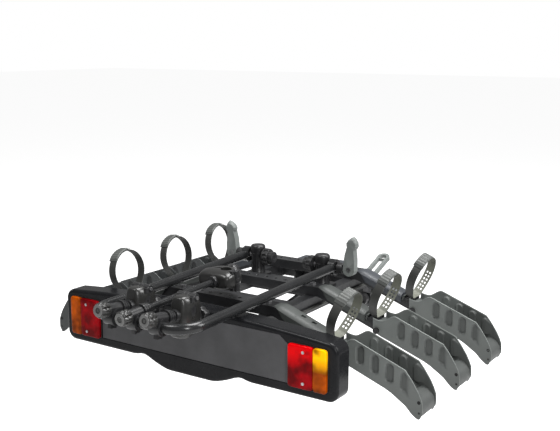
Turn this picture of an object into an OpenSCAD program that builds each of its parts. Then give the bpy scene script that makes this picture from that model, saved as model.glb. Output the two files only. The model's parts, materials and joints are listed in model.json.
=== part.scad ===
// Three-bike carrier for a tow ball: a tilting platform with a fold-down holding frame.
// Origin at the centre of the tow ball, +Y towards the vehicle, +Z up, millimetres.
// Everything but the coupling is drawn from the platform's own zero, platform_z above the ball.

/* [Platform] */
// Height of the platform's own zero above the tow ball's centre
platform_z = 75; // [72:1:78]
// Distance from the tow ball centre to the rearmost tray, along Y
tray_reach = 733; // [725:1:745]
// Distance between neighbouring trays
tray_pitch = 205; // [200:1:210]
// Height of the flat top of the tray rails above the platform's zero
rail_top = 112; // [108:1:113]
// Width of a tray rail
rail_w = 40; // [36:1:44]
// Height of a tray rail
rail_h = 25; // [22:1:28]
// Sheet thickness of a tray rail
rail_wall = 2; // [1.5:0.5:3]
// Where a rail bends down, measured from the centre plane
bend_x = 160; // [156:1:170]
// Angle at which each rail slopes down outward
slope = 20; // [18:0.5:22]
// Half length of a rail, measured from the centre plane
rail_end_x = 485; // [475:1:490]

/* [Wheel channels] */
// Overall width of a wheel channel
channel_w = 75; // [70:1:80]
// Wall thickness of a wheel channel
channel_wall = 3; // [2.5:0.5:4]

/* [Straps] */
// Distance from the centre plane to a wheel strap
strap_x = 340; // [336:1:346]
// Width of a strap
strap_w = 24; // [20:1:26]
// Thickness of a strap
strap_t = 3; // [2.5:0.5:4]
// Height of a strap loop above its anchor
strap_h = 122; // [110:1:130]

/* [Light panel] */
// Half width of the light panel
panel_half = 412; // [406:1:415]
// Depth of the light panel
panel_depth = 50; // [45:1:55]
// Height of the panel's top edge on the centre plane, above the platform's zero
panel_top = 117; // [112:1:117]
// Height of the panel's lower edge beside the lamps, above the platform's zero
panel_low = -37; // [-42:1:-30]
// How far the middle of the lower edge hangs below the rest
panel_bulge = 21; // [15:1:25]
// Side of a square lamp
lamp_size = 100; // [90:1:104]

/* [Holding frame] */
// Diameter of the frame tube
tube_d = 25; // [22:1:26]
// Wall thickness of the frame tube
tube_wall = 2; // [1.5:0.5:3]
// Distance from the centre plane to a frame leg
leg_x = 142; // [140:1:146]
// Distance from the fold axis to the cross bar
fold_len = 623; // [615:1:630]
// Bend radius of the frame's corners
bend_r = 55; // [50:1:58]
// Height of the fold axis above the platform's zero
fold_z = 141; // [139:1:143]
// Distance from the tow ball centre to the fold axis, along Y
fold_reach = 437; // [432:1:440]
// Angle by which the folded frame hangs below level
fold_droop = 1.2; // [0.8:0.1:1.5]

/* [Frame clamps] */
// Distance between neighbouring holding arms along the bar
arm_pitch = 68; // [66:1:69]
// Distance from the bar to an outer jaw's centre
short_reach = 92; // [90:1:95]
// Distance from the bar to the middle jaw's centre
long_reach = 320; // [305:1:325]
// Height of an arm's rod above the bar's centre
arm_offset = 18; // [16:1:20]
// Length of a jaw from its mouth to its pivot end
jaw_len = 110; // [104:1:114]
// Depth of a pair of jaws along the rod
jaw_depth = 76; // [70:1:80]
// Thickness of a jaw
jaw_t = 52; // [46:1:54]
// Radius of the hole that grips a bicycle tube
grip_r = 14; // [12:0.5:15]

/* [Coupling] */
// Diameter of the tow ball
ball_d = 50; // [49.8:0.1:50.2]
// Distance from the tow ball centre to the tilt axis, along Y
tilt_reach = 215; // [210:1:220]
// Height of the tilt axis above the platform's zero
tilt_z = 40; // [36:1:44]

/* [Hidden] */
$fn = 48;

black = [0.13, 0.13, 0.14];
satin = [0.17, 0.17, 0.18];
slate = [0.22, 0.23, 0.25];
stone = [0.49, 0.51, 0.48];
khaki = [0.56, 0.57, 0.53];
steel = [0.72, 0.72, 0.74];

tray_ys = [for (i = [0:2]) -tray_reach + i * tray_pitch];
// Overlap that welds two solids of one node together
weld = 1;
// Radial clearance of a running fit
play = 0.05;
// Height of the tilt axis above the ball's centre
axle_z = tilt_z + platform_z;

// Chassis beams
beam_x = 134;
beam_w = 30;
beam_h = 40;
beam_top = rail_top - rail_h;
beam_z = beam_top - beam_h / 2;
beam_wall = 2.5;
chassis_rear = -828;
chassis_front = -252;
cheek_x = 42;
cheek_t = 6;

// Fold hinge
fold_y = -fold_reach;
tube_r = tube_d / 2;
bolt_r = 8;
eye_r = 22;
eye_half = 11;
bracket_x = 106;
bracket_r = 21;
lever_x = 192;
lever_t = 20;
lever_foot_r = 17;
collar_x = lever_x - lever_foot_r - 10.5;
lever_neck_r = 4.5;
barrel_r = 7;
wheel_x = 67;
wheel_t = 30;
bar_y = fold_y - fold_len * cos(fold_droop);
bar_z = fold_z - fold_len * sin(fold_droop);

// Arms
arm_angles = [8, -2, 8];
rod_r = 8;
stud_r = 3.5;
stud_l = -10;
pivot_l = 40;
grip_l = 11;
half_gap = 1.5;

// Light panel
panel_y = -880;
panel_wall = 3;
corner_r = 26;
lamp_x = 338;
lamp_z = 34;
plate_half = 285;
plate_low = -14;
plate_high = 97;
recess = 4;

function smooth(t) = let (c = min(max(t, 0), 1)) c * c * (3 - 2 * c);
function rail_z(x) = rail_top - max(0, abs(x) - bend_x) * tan(slope);
function panel_crest(x) = panel_top - 20 * pow(x / panel_half, 2);
function panel_foot(x) = panel_low - panel_bulge * smooth((150 - abs(x)) / 90)
    + 5 * smooth((180 - abs(x)) / 30) * smooth((abs(x) - 110) / 40);
function arc(cx, cz, r, a0, a1, n) =
    [for (i = [0:n]) let (a = a0 + (a1 - a0) * i / n) [cx + r * cos(a), cz + r * sin(a)]];

// ---- General helpers ----

// Lifts the platform's parts to their height above the ball
module raised() {
    translate([0, 0, platform_z]) children();
}

// Bar of radius r along X, centred on x
module along_x(x, len, r) {
    translate([x - len / 2, 0, 0]) rotate([0, 90, 0]) cylinder(h = len, r = r);
}

module along_y(y, len, r) {
    translate([0, y, 0]) rotate([-90, 0, 0]) cylinder(h = len, r = r);
}

// Draws its children on both sides of the centre plane
module both_sides() {
    children();
    mirror([1, 0, 0]) children();
}

// Draws its children at each tray, on both sides
module each_channel() {
    for (y = tray_ys) translate([0, y, 0]) both_sides() children();
}

// Box with rounded vertical corners, centred in X and Y
module rounded_box(w, d, h, r) {
    linear_extrude(h) square([w - 2 * r, d], center = true);
    linear_extrude(h) square([w, d - 2 * r], center = true);
    for (sx = [-1, 1]) for (sy = [-1, 1])
        translate([sx * (w / 2 - r), sy * (d / 2 - r), 0]) cylinder(h = h, r = r);
}

// Extrudes an outline drawn in the XZ plane along Y, from y to y + depth
module slab_y(y, depth) {
    translate([0, y + depth, 0]) rotate([90, 0, 0]) linear_extrude(depth) children();
}

// Extrudes an outline drawn in the YZ plane along X, from x to x + depth
module slab_x(x, depth) {
    translate([x, 0, 0]) rotate([90, 0, 90]) linear_extrude(depth) children();
}

// Hexagon bolt head standing on z = 0
module hex_head(r, h) {
    cylinder(h = h, r = r, $fn = 6);
}

// Lobed grip along +Z from z = 0
module lobed_grip(r, h, lobes) {
    difference() {
        union() {
            cylinder(h = h - 3, r = r);
            translate([0, 0, h - 3]) cylinder(h = 3, r1 = r, r2 = r - 3);
        }
        for (i = [0:lobes - 1]) rotate(i * 360 / lobes)
            translate([r + 3, 0, 4]) cylinder(h = h, r = 6, $fn = 24);
    }
}

// ---- Coupling ----

cup_r = 34;
cup_wall = 6;
cup_top = 44;
neck_w = 60;
boss_r = 28;
lug_x = 25;
lug_t = 8;
// Axis of the release handle
lever_y = 8;
lever_z = cup_top + 16;
lever_pin_r = 5;

// Side view of the neck that climbs from the cup to the tilt axis
module neck_outline() {
    polygon([[-tilt_reach, axle_z + boss_r], [-tilt_reach + 40, axle_z + boss_r - 6],
             [-20, cup_top - 2], [-20, -12], [-60, -12], [-tilt_reach - 8, axle_z - boss_r + 1.2]]);
}

module coupling_body() {
    color(black) difference() {
        union() {
            translate([0, 0, -14]) cylinder(h = cup_top + 14, r = cup_r + cup_wall);
            slab_x(-neck_w / 2, neck_w) neck_outline();
            translate([0, -tilt_reach, axle_z]) along_x(0, neck_w, boss_r);
            for (s = [-1, 1]) translate([s * lug_x - lug_t / 2, lever_y - 16, cup_top - 12])
                cube([lug_t, 32, 42]);
        }
        // Seat of the ball and the pocket of the sliding jaw
        translate([0, 0, -15]) cylinder(h = 15 + ball_d / 2 + 4, r = cup_r - cup_wall);
        translate([-15, 18, -16]) cube([30, 30, 30]);
        translate([0, -tilt_reach, axle_z]) along_x(0, neck_w + 2, bolt_r + play);
        translate([0, lever_y, lever_z]) along_x(0, 70, lever_pin_r + play);
    }
}

module cup_liner() {
    color(slate) difference() {
        translate([0, 0, -13]) cylinder(h = 13 + ball_d / 2 + 3.9, r = cup_r - cup_wall - 0.1);
        translate([0, 0, -14]) cylinder(h = 17, r = ball_d / 2 + play);
        sphere(r = ball_d / 2 + play);
        translate([-15.5, 10, -16]) cube([31, 30, 31]);
    }
}

module lever_pin() {
    color(steel) translate([0, lever_y, lever_z]) {
        along_x(0, 62, lever_pin_r);
        along_x(-31.2, 4, 8);
        along_x(31.2, 4, 8);
    }
}

module tilt_pin() {
    tilt_bolt_len = 2 * (cheek_x + cheek_t) + 4;
    color(steel) translate([0, -tilt_reach, axle_z]) {
        along_x(0, tilt_bolt_len, bolt_r);
        for (s = [-1, 1]) translate([s * (tilt_bolt_len / 2 + 3.5), 0, 0])
            rotate([0, 90, 0]) translate([0, 0, -4]) hex_head(14, 8);
    }
}

// Length of the coupling's release handle, and its angle above level at rest
handle_len = 152;
handle_lean = 21;
handle_t = 12;
handle_r = 21;

module coupling_handle() {
    loop_z = handle_len - handle_r;
    color(stone) translate([0, lever_y, lever_z]) rotate([handle_lean - 90, 0, 0]) difference() {
        union() {
            along_x(0, 38, 13);
            for (s = [-1, 1]) translate([s * 15 - 5, -handle_t / 2, 0]) cube([10, handle_t, loop_z]);
            translate([0, 0, loop_z]) along_y(-handle_t / 2, handle_t, handle_r);
        }
        along_x(0, 50, lever_pin_r + play);
        translate([0, 0, loop_z]) along_y(-handle_t, 2 * handle_t, 11);
        translate([-10, -handle_t, 18]) cube([20, 2 * handle_t, loop_z - 30]);
    }
}

// Distance by which the open jaw stands back from the ball
jaw_retreat = 3.2;

module ball_jaw() {
    color(steel) translate([0, jaw_retreat, 0]) difference() {
        translate([-14, 20, -12]) cube([28, 12, 24]);
        sphere(r = ball_d / 2 + 0.2);
    }
}

// ---- Platform ----

module beam_tube(x) {
    difference() {
        translate([x - beam_w / 2, chassis_rear, beam_top - beam_h])
            cube([beam_w, chassis_front - chassis_rear, beam_h]);
        translate([x - beam_w / 2 + beam_wall, chassis_rear - 1, beam_top - beam_h + beam_wall])
            cube([beam_w - 2 * beam_wall, chassis_front - chassis_rear - 20,
                  beam_h - 2 * beam_wall]);
    }
}

// Outline of one tilt cheek in the YZ plane
module cheek_outline() {
    difference() {
        union() {
            polygon([[-340, 14], [-340, beam_top - 4], [-297, beam_top - 4], [-297, 98],
                     [-262, 98], [-tilt_reach + 20, tilt_z + 22],
                     [-tilt_reach + 12, tilt_z - 18], [-tilt_reach - 30, 14]]);
            translate([-tilt_reach, tilt_z]) circle(r = 24);
        }
        translate([-tilt_reach, tilt_z]) circle(r = bolt_r + play);
        translate([pedal_y, pedal_z]) circle(r = 5 + play);
    }
}

module chassis_frame() {
    color(satin) {
        for (s = [-1, 1]) beam_tube(s * beam_x);
        // Cross beams: behind the panel, below the fold hinge and in front of the last tray
        for (y = [-640, fold_y, chassis_front - 20]) difference() {
            translate([-beam_x - 5, y - 20, beam_top - 36]) cube([2 * beam_x + 10, 40, 36]);
            translate([-cheek_x - 40, y - 17, beam_top - 33]) cube([2 * cheek_x + 80, 34, 30]);
        }
        for (s = [-1, 1]) slab_x(s * (cheek_x + cheek_t / 2) - cheek_t / 2, cheek_t)
            cheek_outline();
    }
}

// Moulded cover over the tilt mechanism, standing on the front cross beam
module mechanism_cover() {
    half = cheek_x + cheek_t + 26;
    wall = 3;
    low = beam_top;
    color(slate) difference() {
        slab_x(-half, 2 * half)
            polygon([[-301, low], [-301, 101], [-293, 108], [-240, 108], [-214, 98], [-204, 90],
                     [-204, low]]);
        slab_x(-half + wall, 2 * (half - wall))
            polygon([[-298, low - 1], [-298, 100], [-291.5, 105], [-241, 105], [-215.5, 95.5],
                     [-207, 89], [-207, low - 1]]);
        for (s = [-1, 1]) translate([s * (half + 13), -250, 119]) rotate([0, s * 40, 0])
            cube([30, 160, 40], center = true);
    }
}

// Straight half rail drawn along +X from the bend
module rail_half() {
    slab_y(-rail_w / 2, rail_w) polygon([
        [0, rail_top], [bend_x, rail_top],
        [rail_end_x, rail_z(rail_end_x)],
        [rail_end_x, rail_z(rail_end_x) - rail_h],
        [bend_x, rail_top - rail_h], [0, rail_top - rail_h]]);
}

module tray_rails() {
    inner_top = rail_top - rail_wall;
    color(satin) for (y = tray_ys) translate([0, y, 0]) difference() {
        both_sides() rail_half();
        // Hollow from below, so the section is an upturned channel
        both_sides() slab_y(-rail_w / 2 + rail_wall, rail_w - 2 * rail_wall) polygon([
            [-1, inner_top], [bend_x, inner_top], [rail_end_x + 1, rail_z(rail_end_x + 1) - rail_wall],
            [rail_end_x + 1, rail_z(rail_end_x + 1) - rail_h - 1],
            [bend_x, rail_top - rail_h - 1], [-1, rail_top - rail_h - 1]]);
        // Lightening holes along the flat top
        for (x = [-105:30:105]) translate([x, 0, inner_top - 1]) cylinder(h = 5, r = 5);
        // Bolt holes over the beams
        for (s = [-1, 1]) translate([s * beam_x, 0, inner_top - 1]) cylinder(h = 5, r = 4.2);
        for (s = [-1, 1]) translate([s * strap_x, 0, rail_z(strap_x) - rail_h / 2])
            rotate([90, 0, 0]) cylinder(h = rail_w + 2, r = 5.1, center = true);
    }
}

module rail_bolts() {
    color(steel) for (y = tray_ys) translate([0, y, 0]) both_sides()
        translate([beam_x, 0, 0]) {
            translate([0, 0, rail_top]) hex_head(7.5, 5);
            translate([0, 0, beam_top + 1]) cylinder(h = rail_h, r = 4);
        }
}

module rail_end_caps() {
    color(black) each_channel() {
        translate([rail_end_x, 0, rail_z(rail_end_x) - rail_h / 2]) {
            translate([0, -rail_w / 2, -rail_h / 2]) cube([4, rail_w, rail_h - 2]);
            translate([-12, -rail_w / 2 + rail_wall + 0.2, -rail_h / 2 + 1])
                cube([12 + weld, rail_w - 2 * rail_wall - 0.4, rail_h - 10]);
        }
    }
}

// Top line of a grey nose cap
nose_start = 158;
nose_end = 299;
nose_rise = 10;
nose_w = rail_w + 12;

module nose_outline(grow) {
    polygon([
        [nose_start, rail_z(nose_start) + 1 + grow],
        [nose_start + 26, rail_z(nose_start + 26) + nose_rise + grow],
        [nose_end - 8, rail_z(nose_end - 8) + nose_rise + grow],
        [nose_end, rail_z(nose_end) + nose_rise - 4 + grow],
        [nose_end, rail_z(nose_end) - 16], [nose_start + 34, rail_z(nose_start + 34) - 16],
        [nose_start, rail_z(nose_start) - 8]]);
}

module nose_caps() {
    color(khaki) each_channel() difference() {
        slab_y(-nose_w / 2, nose_w) nose_outline(0);
        slab_y(-rail_w / 2 - 0.3, rail_w + 0.6) polygon([
            [bend_x, rail_top + 0.3], [nose_start - 1, rail_top + 0.3], [nose_start - 1, 60],
            [nose_end + 1, 0], [nose_end + 1, rail_z(nose_end + 1) + 0.3]]);
        // Long top chamfers and the swept inner point
        for (s = [-1, 1]) translate([0, s * nose_w / 2, 0]) rotate([0, slope, 0])
            translate([nose_start * cos(slope) + 60, 0, 168]) rotate([45, 0, 0])
                cube([240, 13, 13], center = true);
        for (s = [-1, 1]) translate([nose_start - 2, s * (nose_w / 2 + 2), 0]) rotate(s * 30)
            translate([-30, -15, 40]) cube([40, 30, 120]);
        for (x = [232, 262]) translate([x, 0, rail_z(x) + nose_rise - 2]) cylinder(h = 9, r = 5);
    }
}

// Side view of a wheel channel's wall
module channel_outline() {
    polygon(concat(
        [[strap_x - 14, rail_z(strap_x - 14) + 12]],
        [for (i = [0:8]) let (t = i / 8, x = 352 + 37 * t) [x, 61 + 17 * smooth(t)]],
        [[400, 75], [518, 32], [548, -8], [562, -36], [561, -62], [555, -74],
         [546, -73], [534, -64], [520, -50], [485, -28], [470, -21], [381, 11],
         [strap_x - 4, 22], [strap_x - 13, 34]]));
}

// Floor line on which the wheel stands, seen from the side
module channel_floor_outline() {
    polygon([[356, rail_z(356) + 0.2], [rail_end_x + 5, rail_z(rail_end_x + 5) + 0.2],
             [552, -54], [556, -50], [rail_end_x + 9, rail_z(rail_end_x + 9) + 4],
             [356, rail_z(356) + 4]]);
}

module wheel_channels() {
    pocket_half = channel_w / 2 - channel_wall;
    pocket_r = 11;
    color(stone) each_channel() difference() {
        union() {
            slab_y(-channel_w / 2, channel_wall) channel_outline();
            slab_y(pocket_half, channel_wall) channel_outline();
            slab_y(-pocket_half - weld, 2 * (pocket_half + weld)) channel_floor_outline();
            // Lip that joins the two walls at the outer tip
            slab_y(-channel_w / 2, channel_w)
                polygon([[548, -62], [562, -50], [562, -64], [556, -74], [546, -73]]);
            // Webs that hold the channel against the rail's sides
            for (s = [-1, 1]) translate([0, s * (rail_w / 2 + 1.3), 0])
                slab_y(-1, 2) polygon([[360, rail_z(360) + 2], [470, rail_z(470) + 2],
                                       [470, rail_z(470) - 15], [360, rail_z(360) - 15]]);
        }
        translate([strap_x, 0, rail_z(strap_x) - rail_h / 2]) rotate([90, 0, 0])
            cylinder(h = channel_w + 2, r = 5.1, center = true);
        translate([553, 0, -36]) rotate([90, 0, 0]) cylinder(h = channel_w + 2, r = 4, center = true);
        translate([553, 0, -60]) rotate([90, 0, 0]) cylinder(h = channel_w + 2, r = 2, center = true);
        // Upright oval pockets pressed into both walls
        for (i = [0:3]) for (s = [-1, 1]) let (x = 406 + 37 * i)
            translate([x, s * (channel_w / 2 + 2), rail_z(x) + 22]) rotate([90, 0, 0]) {
                for (dz = [-7, 7]) translate([0, dz, 0]) cylinder(h = 7, r = pocket_r, center = true);
                cube([2 * pocket_r, 14, 7], center = true);
            }
    }
}

module channel_bolts() {
    color(black) each_channel() translate([strap_x, 0, rail_z(strap_x) - rail_h / 2])
        rotate([90, 0, 0]) {
            cylinder(h = channel_w + 1, r = 4.9, center = true);
            for (s = [-1, 1]) translate([0, 0, s * (channel_w / 2 + 2.5)])
                cylinder(h = 5, r = 8, center = true);
        }
}

// Loop of a strap: its foot above the rail, its leaning angles and the spread of its legs
strap_base = 63;
strap_cx = strap_x - 18;
strap_lean_right = 20;
strap_lean_left = 8;
strap_half = 57;
strap_foot = 22;
shoulder_h = strap_h - strap_half;
clip_x = strap_x - 36;

module strap_anchors() {
    color(black) each_channel() translate([strap_cx, 0, rail_z(strap_x)]) difference() {
        translate([-6, -rail_w / 2 - 6, -8]) cube([14, rail_w + 12, 19.5]);
        translate([-7, -rail_w / 2 - 0.2, -30]) cube([16, rail_w + 0.4, 39]);
    }
}

module strap_clips() {
    color(khaki) each_channel() translate([clip_x, 0, rail_z(clip_x)]) rotate([0, slope, 0])
        difference() {
            translate([-1.5, -rail_w / 2 - 3, -8]) cube([4.5, rail_w + 6, 15]);
            translate([-3, -rail_w / 2 - 0.2, -20]) cube([10, rail_w + 0.4, 20.4]);
        }
}

// Places a strap's parts in every channel, drawn from the loop's foot; the loops lean outward
module each_strap() {
    for (y = tray_ys) for (side = [0, 1]) translate([0, y, 0]) mirror([side, 0, 0])
        translate([strap_cx, 0, strap_base])
            rotate([0, side == 0 ? strap_lean_right : strap_lean_left, 0]) children();
}

// Half spacing of a strap's legs at height h above its foot
function leg_y(h) = strap_foot + (strap_half - strap_foot) * sin(90 * h / shoulder_h);

// Closed strap loop in the YZ plane: narrow foot, flaring legs, round top
module loop_shape(inset) {
    steps = 8;
    // One leg's outline from just above the foot to the shoulder
    leg = [for (i = [0:steps - 1]) let (h = inset + (shoulder_h - inset) * i / steps)
        [leg_y(h) - inset * (1.4 - 0.4 * i / steps), h]];
    polygon(concat(
        leg, arc(0, shoulder_h, strap_half - inset, 0, 180, 20),
        [for (i = [1:steps]) [-leg[steps - i][0], leg[steps - i][1]]]));
}

module wheel_straps() {
    color(black) each_strap() slab_x(-strap_w / 2, strap_w) difference() {
        loop_shape(0);
        loop_shape(strap_t);
    }
}

// Ratchet buckle that follows the rear of the strap's round top
module strap_buckles() {
    reach = 1.75 * strap_half;
    color(khaki) each_strap() slab_x(-strap_w / 2 - 2, strap_w + 4)
        translate([0, shoulder_h]) intersection() {
            difference() {
                circle(r = strap_half + 6);
                circle(r = strap_half + 0.4);
            }
            polygon([[0, 0], [reach * cos(80), reach * sin(80)],
                     [reach * cos(112), reach * sin(112)], [reach * cos(145), reach * sin(145)]]);
        }
}

// ---- Light panel ----

module panel_outline(inset) {
    half = panel_half - inset;
    r = corner_r - inset / 2;
    crest = panel_crest(panel_half - corner_r) - inset;
    foot = panel_foot(panel_half - corner_r) + inset;
    steps = 24;
    span = half - r;
    polygon(concat(
        [for (i = [0:steps]) let (x = span - 2 * span * i / steps) [x, panel_crest(x) - inset]],
        arc(-half + r, crest - r, r, 100, 180, 8),
        arc(-half + r, foot + r, r, 180, 260, 8),
        [for (i = [0:2 * steps]) let (x = -span + 2 * span * i / (2 * steps))
            [x, panel_foot(x) + inset]],
        arc(half - r, foot + r, r, 280, 360, 8),
        arc(half - r, crest - r, r, 0, 80, 8)));
}

module lamp_square(size, r) {
    offset_size = size - 2 * r;
    square([offset_size, size], center = true);
    square([size, offset_size], center = true);
    for (sx = [-1, 1]) for (sy = [-1, 1])
        translate([sx * offset_size / 2, sy * offset_size / 2]) circle(r = r);
}

module plate_outline(inset) {
    low = plate_low + inset;
    high = plate_high - inset;
    half = plate_half - inset;
    polygon([[-half, low], [-half, high - 18], [-half + 22, high], [half - 22, high],
             [half, high - 18], [half, low]]);
}

module light_panel() {
    color(black) difference() {
        slab_y(panel_y, panel_depth) panel_outline(0);
        slab_y(panel_y + recess + panel_wall + 3, panel_depth) panel_outline(panel_wall);
        slab_y(panel_y - 1, recess + 1) plate_outline(0);
        for (s = [-1, 1]) translate([s * lamp_x, 0, lamp_z]) {
            slab_y(panel_y - 1, recess + 1) lamp_square(lamp_size + 4, 12);
            slab_y(panel_y - 1, 30) lamp_square(lamp_size - 16, 6);
        }
        // Clearance for the two bracket screws
        for (s = [-1, 1]) translate([s * beam_x, panel_y - 1, beam_z]) along_y(0, 30, 4.5);
    }
}

module plate_board() {
    color([0.33, 0.33, 0.34]) slab_y(panel_y + 0.8, recess - 1) plate_outline(1);
}

module panel_brackets() {
    color(satin) for (s = [-1, 1]) difference() {
        union() {
            translate([s * beam_x - 22, panel_y + 10.2, beam_z - 28]) cube([44, 5, 56]);
            translate([s * beam_x - 12, panel_y + 14, beam_z - 17]) cube([24, 80, 34]);
        }
        translate([s * beam_x, panel_y, beam_z]) along_y(0, 30, 4.2);
        translate([s * beam_x - 9, panel_y + 20, beam_z - 14]) cube([18, 80, 28]);
    }
}

module lamp_bases() {
    color([0.8, 0.8, 0.8]) for (s = [-1, 1]) translate([s * lamp_x, 0, lamp_z]) difference() {
        union() {
            slab_y(panel_y + 1.5, recess - 1.5) lamp_square(lamp_size - 2, 9);
            slab_y(panel_y + recess - weld, 20) lamp_square(lamp_size - 17, 6);
        }
        slab_y(panel_y, recess + 14) lamp_square(lamp_size - 26, 5);
        for (z = [-36, 36]) translate([-s * 8, panel_y, z]) along_y(-1, 8, 1.7);
    }
}

module lamp_gaskets() {
    color(black) for (s = [-1, 1]) translate([s * lamp_x, 0, lamp_z]) difference() {
        slab_y(panel_y - 1, recess) lamp_square(lamp_size + 3.6, 12);
        slab_y(panel_y - 2, recess + 2) lamp_square(lamp_size + 0.2, 9);
    }
}

// Half of a lens: the side of the lamp from x0 to x1, dished inside
module lens_part(x0, x1) {
    bulge = 9;
    difference() {
        intersection() {
            slab_y(panel_y - bulge, bulge + 1.3) lamp_square(lamp_size, 10);
            translate([x0, panel_y - bulge - 1, -60]) cube([x1 - x0, 30, 120]);
        }
        intersection() {
            slab_y(panel_y - bulge + 2.4, bulge + 2) lamp_square(lamp_size - 5, 8);
            translate([x0 + 1.2, panel_y - bulge - 1, -60]) cube([x1 - x0 - 2.4, 30, 120]);
        }
    }
}

lens_split = 15;

module lens_red() {
    color([0.75, 0.02, 0.04, 0.9]) for (s = [0, 1]) mirror([s, 0, 0])
        translate([lamp_x, 0, lamp_z]) difference() {
            lens_part(-lamp_size / 2, lens_split - 0.1);
            for (z = [-36, 36]) translate([-8, panel_y - 20, z]) along_y(0, 30, 1.8);
        }
}

module lens_amber() {
    color([0.95, 0.5, 0.05, 0.9]) for (s = [0, 1]) mirror([s, 0, 0])
        translate([lamp_x, 0, lamp_z]) lens_part(lens_split + 0.1, lamp_size / 2);
}

module lamp_bulbs() {
    color([0.9, 0.9, 0.85]) for (s = [0, 1]) mirror([s, 0, 0])
        for (p = [[-22, 18], [-22, -18], [27, 0]])
            translate([lamp_x + p[0], panel_y + 9.5, lamp_z + p[1]]) {
                sphere(r = 7);
                along_y(2, 2, 6);
                along_y(4, 4.3, 7.5);
            }
}

module lamp_screws() {
    color(steel) for (s = [0, 1]) mirror([s, 0, 0]) for (z = [-36, 36])
        translate([lamp_x - 8, 0, lamp_z + z]) {
            translate([0, panel_y - 11, 0]) along_y(0, 2, 3.5);
            translate([0, panel_y - 9.5, 0]) along_y(0, 13, 1.6);
        }
}

// Cable along the outer face of the right beam, turned back under it to the parked plug
cable_r = 4;
cable_x = beam_x + beam_w / 2 + cable_r + 1;
cable_z = 60;
cable_turn = 20;
cable_front = -252;
plug_z = cable_z - 2 * cable_turn;
plug_back = -266;

module wiring_loom() {
    color(black) translate([cable_x, 0, 0]) {
        translate([0, -822, cable_z]) along_y(0, 822 + cable_front, cable_r);
        translate([0, cable_front, cable_z - cable_turn]) rotate([0, 90, 0]) rotate(0)
            rotate_extrude(angle = 180) translate([cable_turn, 0]) circle(r = cable_r);
        translate([0, plug_back, plug_z]) along_y(0, cable_front - plug_back, cable_r);
    }
}

module plug_holder() {
    color(black) difference() {
        union() {
            translate([cable_x - 18, plug_back - 16, plug_z - 16]) cube([36, 8, 32]);
            translate([beam_x - 12, plug_back - 16, beam_top - beam_h - 12]) cube([26, 24, 11.8]);
        }
        translate([cable_x, plug_back - 20, plug_z]) along_y(0, 16, 12);
        translate([cable_x, plug_back - 7, plug_z]) along_y(0, 30, 14);
    }
}

module plug() {
    color(slate) translate([cable_x, plug_back - 0.2, plug_z]) rotate([90, 0, 0]) difference() {
        union() {
            cylinder(h = 34, r = 11.8);
            translate([0, 0, 18]) cylinder(h = 16, r = 16);
        }
        translate([0, 0, 24]) cylinder(h = 11, r = 12.5);
    }
}

// ---- Fold hinge ----

module hinge_brackets() {
    base_t = 6;
    color(black) both_sides() difference() {
        union() {
            translate([bracket_x, fold_y, beam_top]) cylinder(h = 86, r = bracket_r);
            translate([bracket_x, fold_y, beam_top]) rounded_box(66, 50, base_t, 8);
        }
        translate([0, fold_y, fold_z]) along_x(bracket_x, 60, bolt_r + play);
    }
    // Seat collar between the frame's eye and the lever
    color(black) both_sides() translate([0, fold_y, fold_z]) difference() {
        along_x(collar_x, 18, 15);
        along_x(collar_x, 24, bolt_r + play);
    }
}

// Bolt with a thin neck and a cross barrel on which the lever turns
module hinge_bolts() {
    inner = wheel_x - wheel_t / 2 + 4;
    shoulder = lever_x - 20;
    color(steel) both_sides() translate([0, fold_y, fold_z]) {
        along_x((inner + shoulder) / 2, shoulder - inner, bolt_r);
        along_x((shoulder + lever_x) / 2 - 0.5, lever_x - shoulder + 1, lever_neck_r);
        translate([lever_x, 0, 0]) along_y(-9.5, 19, barrel_r);
    }
}

// Round hand wheel on the inner end of a hinge bolt
module hand_wheel() {
    translate([0, fold_y, fold_z]) difference() {
        translate([wheel_x + wheel_t / 2, 0, 0]) rotate([0, -90, 0]) {
            lobed_grip(23, 18, 10);
            cylinder(h = wheel_t, r = 16);
        }
        along_x(wheel_x + 8, wheel_t + 10, bolt_r + play);
        along_x(wheel_x - wheel_t / 2, 6, 5);
    }
}

module hand_wheel_left() {
    color(black) mirror([1, 0, 0]) hand_wheel();
}

module hand_wheel_right() {
    color(black) hand_wheel();
}

// Teardrop lever: round foot on the cross barrel, tapering neck, leaf-shaped tip that leans out
module cam_lever() {
    slot = 5;
    translate([lever_x, fold_y, fold_z]) difference() {
        union() {
            slab_y(-lever_t / 2, lever_t) {
                circle(r = lever_foot_r);
                polygon([[-lever_foot_r, 0], [-12, 40], [-5, 64], [13, 64], [lever_foot_r, 26],
                         [lever_foot_r, 0]]);
            }
            intersection() {
                translate([4, 0, 58]) rotate([0, 14, 0]) rotate_extrude()
                    polygon([[0, -8], [9, -4], [15, 3], [17, 10], [14, 19], [7, 28], [0, 33]]);
                translate([-40, -lever_t / 2, 0]) cube([80, lever_t, 120]);
            }
        }
        along_y(-lever_t, 2 * lever_t, barrel_r + play);
        // Slot in which the bolt's neck turns
        translate([-20, -slot, -20]) cube([20 + slot, 2 * slot, 20 + slot]);
    }
}

module cam_lever_left() {
    color(stone) mirror([1, 0, 0]) cam_lever();
}

module cam_lever_right() {
    color(stone) cam_lever();
}

module pedal_pin() {
    pin_len = 2 * (cheek_x + cheek_t) + 2;
    color(steel) translate([0, pedal_y, pedal_z]) {
        along_x(0, pin_len, 5);
        for (s = [-1, 1]) along_x(s * (pin_len / 2 + 1), 3, 8);
    }
}

// Foot pedal that lifts the tilt pawl
pedal_y = -318;
pedal_z = 34;
// The pawl stops short of the coupling's boss
pawl_len = -tilt_reach - 36 - pedal_y;

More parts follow.
